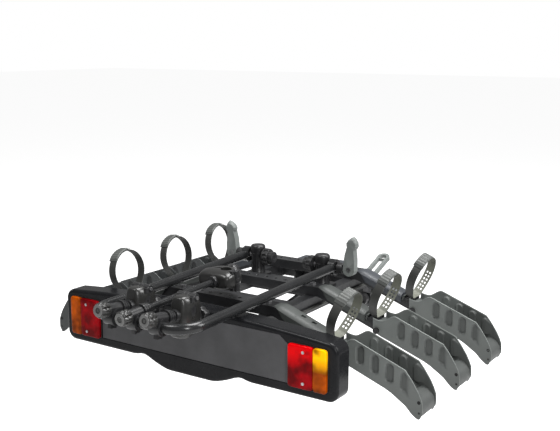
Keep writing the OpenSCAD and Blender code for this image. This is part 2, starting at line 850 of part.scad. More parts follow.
module foot_pedal() {
    color(satin) translate([0, pedal_y, pedal_z]) difference() {
        union() {
            slab_x(-6, 12) {
                circle(r = 13);
                polygon([[0, 11], [0, -11], [-440, -74], [-490, -74], [-490, -62], [-440, -62]]);
                polygon([[0, 8], [pawl_len - 6, -6], [pawl_len - 6, -17], [0, -11]]);
            }
            along_x(0, 2 * cheek_x - 2, 9);
            translate([-45, -500, -76]) cube([90, 38, 8]);
        }
        along_x(0, 2 * cheek_x + 20, 5 + play);
    }
}

// ---- Holding frame ----

// Tube path of the U: legs towards -Y that start at gap, cross bar along X at the far end
module u_path(r, gap) {
    leg = fold_len - bend_r;
    straight = leg_x - bend_r;
    both_sides() {
        translate([leg_x, -leg, 0]) along_y(0, leg - gap, r);
        translate([straight, -leg, 0]) rotate(-90)
            rotate_extrude(angle = 90) translate([bend_r, 0]) circle(r = r);
    }
    translate([0, -fold_len, 0]) along_x(0, 2 * straight, r);
}

module u_frame() {
    color(satin) translate([0, fold_y, fold_z]) rotate([fold_droop, 0, 0]) difference() {
        union() {
            u_path(tube_r, 8);
            both_sides() along_x(leg_x, 2 * eye_half, eye_r);
        }
        u_path(tube_r - tube_wall, eye_r + 3);
        both_sides() along_x(leg_x, 60, bolt_r + play);
    }
}

// Places a holding arm's parts: origin at the bar's centre, rod along +Y
module arm_place(i) {
    translate([(i - 1) * arm_pitch, bar_y, bar_z]) rotate([-arm_angles[i], 0, 0]) children();
}

function reach(i) = i == 1 ? long_reach : short_reach;

// Places a jaw's parts: origin at the jaw's centre, rod along -Y; the middle jaw's mouth
// faces -X, the outer jaws' mouths face down
module jaw_place(i) {
    arm_place(i) translate([0, reach(i), arm_offset]) rotate([0, i == 1 ? 0 : -90, 0]) children();
}

module arm_clamp(i) {
    color(black) arm_place(i) difference() {
        union() {
            along_x(0, 30, tube_r + 7);
            translate([-12, -21, 0]) cube([24, 44, arm_offset]);
            translate([0, 0, arm_offset]) along_y(-21, 44, 13);
            translate([0, 0, arm_offset]) for (k = [0:2]) along_y(18 + 8 * k, 5, 17 - 1.5 * k);
            translate([0, 0, arm_offset]) along_y(18, 22, 12.5);
            translate([-5, -9, -tube_r - 14]) cube([10, 18, 12]);
        }
        along_x(0, 40, tube_r + play);
        // Split of the clamp below the bar
        translate([-20, -1, -40]) cube([40, 2, 40]);
        translate([0, 0, arm_offset]) along_y(22, 30, rod_r + play);
        translate([0, 0, arm_offset]) along_y(-22, 10.1, stud_r + play);
    }
}

module arm_rod(i) {
    end = reach(i) - jaw_depth / 2 + 12;
    color(satin) arm_place(i) translate([0, 0, arm_offset]) along_y(22.1, end - 22.1, rod_r);
}

module bar_knob(i) {
    color(black) arm_place(i) translate([0, -22, arm_offset]) rotate([90, 0, 0]) difference() {
        lobed_grip(18, 28, 8);
        translate([0, 0, -1]) cylinder(h = 16, r = stud_r + play);
        translate([-4, -4, 20]) cube([8, 8, 10]);
    }
}

module arm_bolts(i) {
    color(steel) {
        arm_place(i) translate([0, 0, arm_offset]) along_y(-34, 22, stud_r);
        jaw_place(i) translate([pivot_l, 0, 0]) cylinder(h = jaw_t + 6, r = 4, center = true);
    }
}

// Outline of one half of a jaw pair, on the side y > 0
module half_jaw_outline() {
    b = jaw_depth / 2;
    difference() {
        intersection() {
            polygon([for (i = [0:24]) let (a = i * 180 / 24)
                [(a < 90 ? pivot_l + 6 : jaw_len / 2) * cos(a), half_gap + (b - half_gap) * pow(sin(a), 0.8)]]);
            translate([-jaw_len / 2, half_gap]) square([jaw_len, b]);
        }
        translate([grip_l, 0]) circle(r = grip_r);
        // Mouth that leads a tube in
        polygon([[-jaw_len / 2 - 1, 0], [-jaw_len / 2 - 1, 9], [-26, 3], [grip_l, 3], [grip_l, 0]]);
    }
}

// A jaw half: moulded body with a dished grip and a hinge knuckle
module half_jaw(y_sign, stud_slot, knuckle_low, knuckle_high) {
    mirror([0, y_sign > 0 ? 0 : 1, 0]) difference() {
        union() {
            difference() {
                translate([0, 0, -jaw_t / 2]) linear_extrude(jaw_t) half_jaw_outline();
                translate([pivot_l, 0, 0]) cylinder(h = jaw_t + 2, r = 11, center = true);
            }
            translate([pivot_l, 0, knuckle_low])
                cylinder(h = knuckle_high - knuckle_low, r = 10);
            translate([pivot_l - 9, 0, knuckle_low])
                cube([12, 16, knuckle_high - knuckle_low]);
        }
        translate([grip_l, 0, 0]) cylinder(h = jaw_t + 2, r = grip_r, center = true);
        if (stud_slot) translate([stud_l - 10, -1, -5]) cube([15, 30, 10]);
        else translate([stud_l, -1, 0]) along_y(0, jaw_depth, stud_r + play);
    }
}

module fixed_jaw(i) {
    b = jaw_depth / 2;
    color(black) jaw_place(i) difference() {
        union() {
            half_jaw(-1, true, -jaw_t / 2, -6.1);
            upper_knuckle();
            along_y(-b - 10, 16, 15);
        }
        translate([pivot_l, 0, 0]) cylinder(h = jaw_t + 8, r = 4 + play, center = true);
        along_y(-b - 12, 24.1, rod_r + play);
    }
}

// Second knuckle of the fixed jaw, on the other side of the moving jaw's knuckle
module upper_knuckle() {
    mirror([0, 1, 0]) {
        translate([pivot_l, 0, 6.1]) cylinder(h = jaw_t / 2 - 6.1, r = 10);
        translate([pivot_l - 9, 0, 6.1]) cube([12, 16, jaw_t / 2 - 6.1]);
    }
}

module moving_jaw(i) {
    color(black) jaw_place(i) difference() {
        half_jaw(1, false, -6, 6);
        translate([pivot_l, 0, 0]) cylinder(h = jaw_t + 2, r = 4 + play, center = true);
    }
}

// Lobed knob with its captive stud
module jaw_knob(i) {
    b = jaw_depth / 2;
    color(black) jaw_place(i) translate([stud_l, 0, 0]) {
        translate([0, b + 0.3, 0]) rotate([-90, 0, 0]) {
            cylinder(h = 12, r1 = 11, r2 = 15);
            translate([0, 0, 10]) lobed_grip(22, 18, 6);
        }
        along_y(-16, b + 20, stud_r);
    }
}

module arm_clamp_left() { arm_clamp(0); }
module arm_rod_left() { arm_rod(0); }
module arm_bolts_left() { arm_bolts(0); }
module fixed_jaw_left() { fixed_jaw(0); }
module moving_jaw_left() { moving_jaw(0); }
module jaw_knob_left() { jaw_knob(0); }
module bar_knob_left() { bar_knob(0); }
module arm_clamp_middle() { arm_clamp(1); }
module arm_rod_middle() { arm_rod(1); }
module arm_bolts_middle() { arm_bolts(1); }
module fixed_jaw_middle() { fixed_jaw(1); }
module moving_jaw_middle() { moving_jaw(1); }
module jaw_knob_middle() { jaw_knob(1); }
module bar_knob_middle() { bar_knob(1); }
module arm_clamp_right() { arm_clamp(2); }
module arm_rod_right() { arm_rod(2); }
module arm_bolts_right() { arm_bolts(2); }
module fixed_jaw_right() { fixed_jaw(2); }
module moving_jaw_right() { moving_jaw(2); }
module jaw_knob_right() { jaw_knob(2); }
module bar_knob_right() { bar_knob(2); }

coupling_body();
cup_liner();
lever_pin();
tilt_pin();
coupling_handle();
ball_jaw();
raised() pedal_pin();
raised() chassis_frame();
raised() mechanism_cover();
raised() tray_rails();
raised() nose_caps();
raised() wheel_channels();
raised() channel_bolts();
raised() strap_anchors();
raised() strap_clips();
raised() wheel_straps();
raised() strap_buckles();
raised() rail_end_caps();
raised() rail_bolts();
raised() light_panel();
raised() plate_board();
raised() panel_brackets();
raised() lamp_bases();
raised() lamp_gaskets();
raised() lamp_bulbs();
raised() lens_red();
raised() lens_amber();
raised() lamp_screws();
raised() wiring_loom();
raised() plug();
raised() plug_holder();
raised() hinge_brackets();
raised() hinge_bolts();
raised() hand_wheel_left();
raised() hand_wheel_right();
raised() cam_lever_left();
raised() cam_lever_right();
raised() foot_pedal();
raised() u_frame();
raised() arm_clamp_left();
raised() arm_rod_left();
raised() arm_bolts_left();
raised() fixed_jaw_left();
raised() moving_jaw_left();
raised() jaw_knob_left();
raised() bar_knob_left();
raised() arm_clamp_middle();
raised() arm_rod_middle();
raised() arm_bolts_middle();
raised() fixed_jaw_middle();
raised() moving_jaw_middle();
raised() jaw_knob_middle();
raised() bar_knob_middle();
raised() arm_clamp_right();
raised() arm_rod_right();
raised() arm_bolts_right();
raised() fixed_jaw_right();
raised() moving_jaw_right();
raised() jaw_knob_right();
raised() bar_knob_right();
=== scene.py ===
"""Looks for a tow-ball bicycle carrier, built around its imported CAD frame. Units are metres."""
import json
import math

import bmesh
import bpy
import numpy as np
from mathutils import Matrix, Vector


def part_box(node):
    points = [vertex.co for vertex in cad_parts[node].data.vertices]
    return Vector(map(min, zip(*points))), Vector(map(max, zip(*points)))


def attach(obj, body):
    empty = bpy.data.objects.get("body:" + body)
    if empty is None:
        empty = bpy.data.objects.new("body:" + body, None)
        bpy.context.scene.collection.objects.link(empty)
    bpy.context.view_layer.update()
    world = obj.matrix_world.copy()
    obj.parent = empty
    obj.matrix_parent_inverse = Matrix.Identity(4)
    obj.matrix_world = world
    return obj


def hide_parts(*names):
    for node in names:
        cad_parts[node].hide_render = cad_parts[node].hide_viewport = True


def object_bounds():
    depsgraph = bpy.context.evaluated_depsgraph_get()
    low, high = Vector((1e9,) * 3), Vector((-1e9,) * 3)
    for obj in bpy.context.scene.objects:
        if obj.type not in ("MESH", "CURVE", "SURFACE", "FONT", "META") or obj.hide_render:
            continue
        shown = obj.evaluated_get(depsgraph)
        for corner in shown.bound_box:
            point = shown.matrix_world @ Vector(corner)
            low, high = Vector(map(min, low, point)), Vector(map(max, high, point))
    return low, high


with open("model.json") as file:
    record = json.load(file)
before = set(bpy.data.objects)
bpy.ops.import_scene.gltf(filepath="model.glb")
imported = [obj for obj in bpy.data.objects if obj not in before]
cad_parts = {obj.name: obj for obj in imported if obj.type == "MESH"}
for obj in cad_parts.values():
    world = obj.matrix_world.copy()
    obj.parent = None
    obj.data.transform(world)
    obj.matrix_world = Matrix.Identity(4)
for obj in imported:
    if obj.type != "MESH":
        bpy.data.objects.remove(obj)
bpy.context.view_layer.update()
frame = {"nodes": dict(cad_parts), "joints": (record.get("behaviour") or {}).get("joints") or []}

MM = 0.001
JOINTS = {j["name"]: j for j in frame["joints"]}
SIDES = ("left", "middle", "right")


# ---------------------------------------------------------------- materials

def set_inputs(node, **values):
    """Sets inputs by name, with underscores for spaces."""
    for name, value in values.items():
        node.inputs[name.replace("_", " ")].default_value = value


def mix_colours(tree, factor, a, b):
    """Node that blends colour a into colour b by factor; a may be an output socket."""
    mix = tree.nodes.new("ShaderNodeMix")
    mix.data_type = "RGBA"
    tree.links.new(factor, mix.inputs["Factor"])
    for socket, value in ((mix.inputs["A"], a), (mix.inputs["B"], b)):
        if isinstance(value, bpy.types.NodeSocket):
            tree.links.new(value, socket)
        else:
            socket.default_value = (*value, 1)
    return mix.outputs["Result"]


def noise(tree, coords, scale, detail=3):
    node = tree.nodes.new("ShaderNodeTexNoise")
    set_inputs(node, Scale=scale, Detail=detail, Roughness=0.55)
    tree.links.new(coords, node.inputs["Vector"])
    return node.outputs["Fac"]


def remap(tree, value, low, high, out_low=0.0, out_high=1.0):
    node = tree.nodes.new("ShaderNodeMapRange")
    tree.links.new(value, node.inputs["Value"])
    set_inputs(node, From_Min=low, From_Max=high, To_Min=out_low, To_Max=out_high)
    return node.outputs["Result"]


def product(tree, a, b):
    node = tree.nodes.new("ShaderNodeMath")
    node.operation = "MULTIPLY"
    tree.links.new(a, node.inputs[0])
    tree.links.new(b, node.inputs[1])
    return node.outputs["Value"]


def roughen(tree, height, strength, distance):
    """Bump on the shader's normal from a height pattern."""
    node = tree.nodes.new("ShaderNodeBump")
    set_inputs(node, Strength=strength, Distance=distance)
    tree.links.new(height, node.inputs["Height"])
    tree.links.new(node.outputs["Normal"], tree.nodes["Principled BSDF"].inputs["Normal"])


def new_material(name):
    """Material with its node tree, its shader and its object coordinates."""
    mat = bpy.data.materials.new(name)
    mat.use_nodes = True
    tree = mat.node_tree
    coords = tree.nodes.new("ShaderNodeTexCoord").outputs["Object"]
    return mat, tree, tree.nodes["Principled BSDF"], coords


def surface(name, base, rough=0.45, metal=0.0, grain=900, bump=0.12, mottle=0.12,
            edge_wear_and_sheen=0.25, coat=0.0, spec=0.5, painted_shade_heights=None, shaded=False, uneven=0.07):
    """Moulded, painted or plated surface: grain bump, soft colour mottling, paler edges mixing wear
    with painted highlight.

    A pair of heights, when given, darkens the colour towards a dark tone below them: painted shade.
    A shaded surface darkens with painted shade from the mesh's own "shade" attribute, which marks
    its pressed places."""
    mat, tree, shader, coords = new_material(name)
    dark = tuple(c * (1 - mottle) for c in base)
    light = tuple(min(1, c * (1 + mottle) + 0.004) for c in base)
    cloud = noise(tree, coords, 14, 4)
    colour = mix_colours(tree, remap(tree, cloud, 0.3, 0.7), dark, light)
    speck = noise(tree, coords, grain * 0.6, 2)
    colour = mix_colours(tree, remap(tree, speck, 0.55, 0.75, 0, 0.35), colour, light)
    edge = tree.nodes.new("ShaderNodeNewGeometry").outputs["Pointiness"]
    wear_and_sheen_tone = tuple(min(1, c * 1.5 + 0.03) for c in base)
    # Edges paler by pointiness: partly real wear, partly a painted highlight along the edges.
    colour = mix_colours(tree, remap(tree, edge, 0.53, 0.62, 0, edge_wear_and_sheen), colour, wear_and_sheen_tone)
    # Painted shade: the colour darkens towards the bottom, below the given heights.
    if painted_shade_heights:
        split = tree.nodes.new("ShaderNodeSeparateXYZ")
        tree.links.new(coords, split.inputs["Vector"])
        height = remap(tree, split.outputs["Z"], painted_shade_heights[0], painted_shade_heights[1], 0.5, 0)
        colour = mix_colours(tree, height, colour, tuple(c * 0.3 for c in base))
    if shaded:
        # Painted shade in the pressed ovals and the hollow end, read from the mesh's "shade"
        # attribute.
        pressed = tree.nodes.new("ShaderNodeAttribute")
        pressed.attribute_name = "shade"
        colour = mix_colours(tree, pressed.outputs["Fac"], colour, tuple(c * 0.22 for c in base))
    tree.links.new(colour, shader.inputs["Base Color"])
    smear = noise(tree, coords, 32, 3)
    tree.links.new(remap(tree, smear, 0.3, 0.7, rough - uneven, rough + uneven),
                   shader.inputs["Roughness"])
    roughen(tree, noise(tree, coords, grain, 2), bump, 0.0003)
    set_inputs(shader, Metallic=metal, Coat_Weight=coat, Coat_Roughness=0.25,
               Specular_IOR_Level=spec)
    return mat


def lens_material(name, base, painted_glint, top_z):
    """Tinted plastic with fine upright flutes and darker prism cells. Its colour also feeds a faint
    emission, a painted glow, and on the right lamp the upper part carries a painted highlight."""
    mat, tree, shader, coords = new_material(name)
    cells = tree.nodes.new("ShaderNodeTexVoronoi")
    flutes = tree.nodes.new("ShaderNodeTexWave")
    for node, scale in ((cells, 75), (flutes, 140)):
        set_inputs(node, Scale=scale)
        tree.links.new(coords, node.inputs["Vector"])
    patch = noise(tree, coords, 24, 2)
    deep = tuple(c * 0.3 for c in base)
    colour = mix_colours(tree, remap(tree, patch, 0.4, 0.62), deep, base)
    facets = remap(tree, cells.outputs["Distance"], 0.1, 0.9, 0, 0.35)
    colour = mix_colours(tree, facets, colour, deep)
    split = tree.nodes.new("ShaderNodeSeparateXYZ")
    tree.links.new(coords, split.inputs["Vector"])
    # Painted highlight on the upper part of the right lamp.
    upper = remap(tree, split.outputs["Z"], top_z - 0.055, top_z - 0.02)
    right = remap(tree, split.outputs["X"], 0, 0.1)
    lit = product(tree, upper, product(tree, remap(tree, patch, 0.3, 0.5), right))
    colour = mix_colours(tree, lit, colour, painted_glint)
    # The colour also feeds the emission: a faint painted glow over the whole lens.
    for socket in ("Base Color", "Emission Color"):
        tree.links.new(colour, shader.inputs[socket])
    roughen(tree, flutes.outputs["Fac"], 0.2, 0.0004)
    set_inputs(shader, Roughness=0.2, Specular_IOR_Level=0.06, Coat_Weight=0.05,
               Coat_Roughness=0.05, Emission_Strength=0.3)
    return mat


LAMP_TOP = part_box("lens_red")[1].z
TRAY_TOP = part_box("tray_rails")[1].z
MATERIALS = {
    "cast_black": surface("cast_black", (0.016, 0.0165, 0.018), 0.42, grain=520, bump=0.25),
    "steel_satin_black": surface("steel_satin_black", (0.012, 0.0124, 0.0132), 0.23, grain=1200,
                                 bump=0.01, mottle=0.03, edge_wear_and_sheen=0.1, spec=0.42, uneven=0.02),
    "rail_black": surface("rail_black", (0.017, 0.0175, 0.019), 0.42, grain=1200, bump=0.08),
    "zinc": surface("zinc", (0.5, 0.5, 0.51), 0.32, metal=1.0, grain=1500, bump=0.05, edge_wear_and_sheen=0.1),
    "black_plastic": surface("black_plastic", (0.011, 0.011, 0.012), 0.34, grain=1000, bump=0.16,
                             edge_wear_and_sheen=0.5),
    "jaw_plastic": surface("jaw_plastic", (0.017, 0.0168, 0.016), 0.3, grain=900, bump=0.1,
                           edge_wear_and_sheen=0.5, coat=0.2, uneven=0.04),
    "slate_plastic": surface("slate_plastic", (0.045, 0.05, 0.058), 0.45, grain=800, bump=0.18),
    "panel_plastic": surface("panel_plastic", (0.0075, 0.0078, 0.009), 0.26, grain=1300, bump=0.01,
                             coat=0.12, edge_wear_and_sheen=0.3, spec=0.1, uneven=0.03),
    "plate_grey": surface("plate_grey", (0.068, 0.068, 0.071), 0.6, grain=1300, bump=0.06,
                          spec=0.3),
    "stone_plastic": surface("stone_plastic", (0.17, 0.185, 0.178), 0.5, grain=850, bump=0.2,
                             mottle=0.09, edge_wear_and_sheen=0.45),
    # Channel walls darken towards the bottom and in their pressed ovals: painted shade.
    "channel_stone": surface("channel_stone", (0.145, 0.157, 0.15), 0.48, grain=850, bump=0.2,
                             mottle=0.09, edge_wear_and_sheen=0.7, painted_shade_heights=(TRAY_TOP - 0.18, TRAY_TOP - 0.05),
                             shaded=True),
    # Darker copy of the channel colour for the left channels: painted shade.
    "channel_slate": surface("channel_slate", (0.06, 0.065, 0.066), 0.5, grain=850, bump=0.2,
                             mottle=0.09, edge_wear_and_sheen=0.4, shaded=True),
    "khaki_plastic": surface("khaki_plastic", (0.045, 0.05, 0.047), 0.52, grain=850, bump=0.2,
                             mottle=0.08, edge_wear_and_sheen=0.3),
    "strap_rubber": surface("strap_rubber", (0.032, 0.033, 0.03), 0.5, grain=700, bump=0.2),
    "strap_inner": surface("strap_inner", (0.16, 0.165, 0.135), 0.55, grain=700, bump=0.2),
    "buckle_grey": surface("buckle_grey", (0.08, 0.085, 0.08), 0.48, grain=850, bump=0.2),
    # Paler grey for the bar knobs' face rings: a painted highlight.
    "knob_face": surface("knob_face", (0.13, 0.13, 0.128), 0.32, grain=900, edge_wear_and_sheen=0.5),
    "lamp_back": surface("lamp_back", (0.016, 0.016, 0.017), 0.5, grain=900),
    "liner": surface("liner", (0.06, 0.06, 0.065), 0.6),
    "gasket": surface("gasket", (0.012, 0.012, 0.012), 0.7, grain=600, bump=0.25),
    "red_lens": lens_material("red_lens", (0.3, 0.0, 0.003), (0.62, 0.0, 0.002), LAMP_TOP),
    "amber_lens": lens_material("amber_lens", (0.42, 0.068, 0.0), (1.0, 0.5, 0.0), LAMP_TOP),
    "bulb": surface("bulb", (0.9, 0.86, 0.7), 0.1, bump=0.02, edge_wear_and_sheen=0),
}


# ---------------------------------------------------------------- mesh helpers

def new_solid(name, verts, faces):
    """Linked object from points in metres; its normals are made to point outwards."""
    mesh = bpy.data.meshes.new(name)
    mesh.from_pydata([tuple(v) for v in verts], [], faces)
    work = bmesh.new()
    work.from_mesh(mesh)
    bmesh.ops.recalc_face_normals(work, faces=work.faces)
    work.to_mesh(mesh)
    work.free()
    solid = bpy.data.objects.new(name, mesh)
    bpy.context.scene.collection.objects.link(solid)
    return solid


def shade_smooth(piece, sharp_above=None):
    """Smooth shading, with edges sharper than an angle in degrees kept crisp."""
    for polygon in piece.data.polygons:
        polygon.use_smooth = True
    if sharp_above:
        piece.data.set_sharp_from_angle(angle=math.radians(sharp_above))


def paint(piece, material):
    piece.data.materials.clear()
    piece.data.materials.append(MATERIALS[material])


def add_piece(name, verts, faces, body, material):
    """New visible piece that rides on a body."""
    piece = new_solid(name, verts, faces)
    shade_smooth(piece)
    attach(piece, body)
    paint(piece, material)
    return piece


def round_edges(piece, width, segments=3, angle=32):
    """Merges split corners, rounds every hard edge and evens the shading."""
    weld = piece.modifiers.new("weld", "WELD")
    weld.merge_threshold = 0.00002
    bevel = piece.modifiers.new("bevel", "BEVEL")
    bevel.width = width * MM
    bevel.segments = segments
    bevel.limit_method = "ANGLE"
    bevel.angle_limit = math.radians(angle)
    bevel.use_clamp_overlap = True
    bevel.miter_outer = "MITER_ARC"
    normals = piece.modifiers.new("normals", "WEIGHTED_NORMAL")
    normals.keep_sharp = False


def bake_modifiers(piece):
    """Replaces the mesh with its result after modifiers."""
    graph = bpy.context.evaluated_depsgraph_get()
    baked = bpy.data.meshes.new_from_object(piece.evaluated_get(graph))
    piece.modifiers.clear()
    piece.data = baked


def loft(rings, capped=True, closed=True):
    """Quads between rings of equal length, with caps. Returns points and faces."""
    count = len(rings[0])
    verts = [v for ring in rings for v in ring]
    faces = []
    last = count if closed else count - 1
    for r in range(len(rings) - 1):
        for i in range(last):
            j = (i + 1) % count
            faces.append((r * count + i, r * count + j, (r + 1) * count + j, (r + 1) * count + i))
    if capped:
        faces.append(tuple(range(count - 1, -1, -1)))
        start = (len(rings) - 1) * count
        faces.append(tuple(range(start, start + count)))
    return verts, faces


def smooth_step(t):
    t = min(max(t, 0.0), 1.0)
    return t * t * (3 - 2 * t)


def interpolate(points, x):
    """Height of a polyline of (x, z) points at x."""
    return float(np.interp(x, [p[0] for p in points], [p[1] for p in points]))


def rounded_rect(x0, x1, z0, z1, radius, steps=6):
    """Closed outline, anticlockwise from the right side."""
    out = []
    for cx, cz, start in ((x1 - radius, z1 - radius, 0), (x0 + radius, z1 - radius, 90),
                          (x0 + radius, z0 + radius, 180), (x1 - radius, z0 + radius, 270)):
        for i in range(steps + 1):
            a = math.radians(start + 90 * i / steps)
            out.append((cx + radius * math.cos(a), cz + radius * math.sin(a)))
    return out


def cutter(verts, faces):
    """Temporary solid for a boolean cut."""
    return new_solid("cutter", verts, faces)


def prism_cutter(outline, y0, y1):
    """Temporary prism along Y, from an outline of (x, z) points."""
    return cutter(*loft([[(x, y, z) for x, z in outline] for y in (y0, y1)]))


def placed_rings(matrix, rings):
    return [[matrix @ Vector(p) for p in ring] for ring in rings]


def slab(matrix, xs, ys, zs):
    """Box between pairs of limits, in millimetres of a local frame."""
    rings = [[(xs[0], y, zs[0]), (xs[1], y, zs[0]), (xs[1], y, zs[1]), (xs[0], y, zs[1])]
             for y in ys]
    return loft(placed_rings(matrix, rings))


def cut(piece, tools):
    for tool in tools:
        boolean = piece.modifiers.new("cut", "BOOLEAN")
        boolean.object = tool
        boolean.operation = "DIFFERENCE"
        boolean.solver = "EXACT"
    bpy.context.view_layer.update()
    bake_modifiers(piece)
    for tool in tools:
        bpy.data.objects.remove(tool)


# ---------------------------------------------------------------- light panel

panel_low, panel_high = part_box("light_panel")
plate_low, plate_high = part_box("plate_board")
gasket_low, gasket_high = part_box("lamp_gaskets")
PANEL_HALF = panel_high.x
PANEL_FACE = panel_low.y
PANEL_BACK = panel_high.y
PANEL_TOP = panel_high.z
# How far the top edge falls towards the ends, and the middle of the lower edge hangs
CREST_DROP = 20 * MM
BULGE = 21 * MM
PANEL_FOOT = panel_low.z + BULGE
CORNER = 26 * MM
GASKET_HALF = (gasket_high.z - gasket_low.z) / 2
LAMP_X = gasket_high.x - GASKET_HALF
LAMP_Z = (gasket_high.z + gasket_low.z) / 2


def panel_crest(x):
    return PANEL_TOP - CREST_DROP * (x / PANEL_HALF) ** 2


def panel_foot(x):
    """Height of the lower edge: a hanging middle with a small raised shoulder on each side."""
    x = abs(x) / MM
    shoulder = 5 * MM * smooth_step((180 - x) / 30) * smooth_step((x - 110) / 40)
    return PANEL_FOOT - BULGE * smooth_step((150 - x) / 90) + shoulder


def panel_ring(inset, y):
    """Outline of the panel, drawn in by inset, at depth y."""
    radius = CORNER - inset
    span = PANEL_HALF - CORNER
    crest, foot = panel_crest(span), panel_foot(span)

    def corner(x, z, start):
        for i in range(9):
            a = math.radians(start + 82 * i / 8)
            ring.append((x + radius * math.cos(a), y, z + radius * math.sin(a)))

    top = [span - 2 * span * i / 32 for i in range(33)]
    bottom = [-span + 2 * span * i / 64 for i in range(65)]
    ring = [(x, y, panel_crest(x) - inset) for x in top]
    corner(-span, crest - CORNER, 98)
    corner(-span, foot + CORNER, 180)
    ring += [(x, y, panel_foot(x) + inset) for x in bottom]
    corner(span, foot + CORNER, 278)
    corner(span, crest - CORNER, 0)
    return ring


def build_light_panel():
    """Hollow housing with a recess for the plate and one for each lamp."""
    edge = 9 * MM
    wall = 3 * MM
    recess = 4 * MM
    chamfer_x, chamfer_z = 22 * MM, 18 * MM
    rings = []
    for i in range(7):
        a = math.radians(90 * i / 6)
        rings.append(panel_ring(edge * (1 - math.sin(a)), PANEL_FACE + edge * (1 - math.cos(a))))
    for inset, y in ((0, PANEL_BACK - 8 * MM), (0, PANEL_BACK), (wall, PANEL_BACK),
                     (wall, PANEL_FACE + edge + wall / 2)):
        rings.append(panel_ring(inset, y))
    verts, faces = loft(rings)
    panel = add_piece("light_panel_housing", verts, faces, "platform", "panel_plastic")
    tools = []
    gap = MM
    x1, z0, z1 = plate_high.x + gap, plate_low.z - gap, plate_high.z + gap
    plate = [(x1, z0), (x1, z1 - chamfer_z), (x1 - chamfer_x, z1), (chamfer_x - x1, z1),
             (-x1, z1 - chamfer_z), (-x1, z0)]
    front = PANEL_FACE - 5 * MM
    floor = PANEL_FACE + recess
    tools.append(prism_cutter(plate, front, floor))
    for s in (-1, 1):
        x = s * LAMP_X
        for half, radius, depth in ((GASKET_HALF + 0.2 * MM, 12 * MM, floor),
                                    (42 * MM, 6 * MM, PANEL_FACE + 30 * MM)):
            outline = rounded_rect(x - half, x + half, LAMP_Z - half, LAMP_Z + half, radius)
            tools.append(prism_cutter(outline, front, depth))
    cut(panel, tools)
    shade_smooth(panel)
    round_edges(panel, 1.6, 3, 40)
    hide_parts("light_panel")


def build_lens(name, node, centre, x0, x1, material):
    """Pillow-shaped lens with a thin wall, open at the back; x0 and x1 are measured outwards
    from the lamp's centre."""
    low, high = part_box(node)
    half = (high.z - low.z) / 2
    mid_z = (high.z + low.z) / 2
    front, back = low.y, high.y
    mirror = 1 if centre > 0 else -1
    outline = rounded_rect(x0, x1, -half, half, 7 * MM, 5)
    cx = (x0 + x1) / 2
    width = x1 - x0
    rings = []
    profile = [(0, back), (0, front + 4 * MM), (0.4 * MM, front + 2.2 * MM),
               (1.4 * MM, front + 0.9 * MM), (3.2 * MM, front + 0.2 * MM), (6 * MM, front)]
    for inset, y in profile:
        sx, sz = 1 - 2 * inset / width, 1 - inset / half
        rings.append([(centre + mirror * (cx + (x - cx) * sx), y, mid_z + z * sz)
                      for x, z in outline])
    for share in (0.5, 0.25):
        rings.append([(centre + mirror * (cx + (x - cx) * share), front, mid_z + z * share)
                      for x, z in outline])
    verts, faces = loft(rings, capped=False)
    count = len(outline)
    verts.append((centre + mirror * cx, front, mid_z))
    start = (len(rings) - 1) * count
    for i in range(count):
        faces.append((start + i, start + (i + 1) % count, len(verts) - 1))
    lens = add_piece(name, verts, faces, "platform", material)
    thick = lens.modifiers.new("wall", "SOLIDIFY")
    thick.thickness = 2 * MM
    thick.offset = -1
    return lens


def build_lamps():
    """Red and amber lenses of both lamps, split by a hairline seam."""
    half = 50 * MM
    split = 15 * MM
    seam = 0.1 * MM
    for side, s in (("left", -1), ("right", 1)):
        red = build_lens(f"lens_red_{side}", "lens_red", s * LAMP_X, -half, split - seam,
                         "red_lens")
        amber = build_lens(f"lens_amber_{side}", "lens_amber", s * LAMP_X, split + seam, half,
                           "amber_lens")
        if s > 0:
            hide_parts("lens_red")
            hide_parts("lens_amber")


# ---------------------------------------------------------------- wheel trays

rails_low, rails_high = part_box("tray_rails")
RAIL_TOP = rails_high.z / MM
# Height of the platform's own zero, from which the channel's outline is drawn
LIFT = RAIL_TOP - 112
# Where the rails bend down towards their ends, and how steeply
BEND = 160
SLOPE_ANGLE = math.radians(20)
SLOPE = math.tan(SLOPE_ANGLE)
RAIL_HALF = 20 * MM
PITCH = 205 * MM
TRAYS = [rails_low.y + RAIL_HALF + PITCH * i for i in range(3)]
# Upright ovals pressed into the channel walls
OVALS = [406 + 37 * i for i in range(4)]
OVAL_DEPTH = 5.2
CHANNEL_HALF = 37.5
CHANNEL_WALL = 3.0
# Screws near a channel's tip: place along and above the platform's zero, and radius
TIP_SCREWS = ((553, -36, 4.2), (554, -60, 2.6))


def rail_z(x):
    return RAIL_TOP - max(0, x - BEND) * SLOPE


def channel_stations():
    """Pairs of a top and a bottom edge point, in millimetres, along one wheel channel."""
    foot = [(330, 36), (338, 27), (352, 20.5), (381, 11), (470, -21), (485, -28), (520, -50)]
    pairs = [((330, 65), (330, 36)), ((340, 62), (339, 26.5))]
    steps = 72
    for i in range(steps + 1):
        x = 352 + (518 - 352) * i / steps
        top = 61 + 17 * smooth_step((x - 352) / 37) if x < 392 else 78 - (x - 392) * 46 / 126
        low = x + 2 * i / steps
        pairs.append(((x, top), (low, interpolate(foot, low))))
    pairs += [((530, 18), (527, -57)), ((540, 4), (531, -61)), ((548, -8), (534, -64)),
              ((556, -23), (540, -69)), ((561, -36), (546, -73)), ((562, -50), (551, -75)),
              ((561.5, -62), (555, -74.5))]
    return [((tx, tz + LIFT), (bx, bz + LIFT)) for (tx, tz), (bx, bz) in pairs]


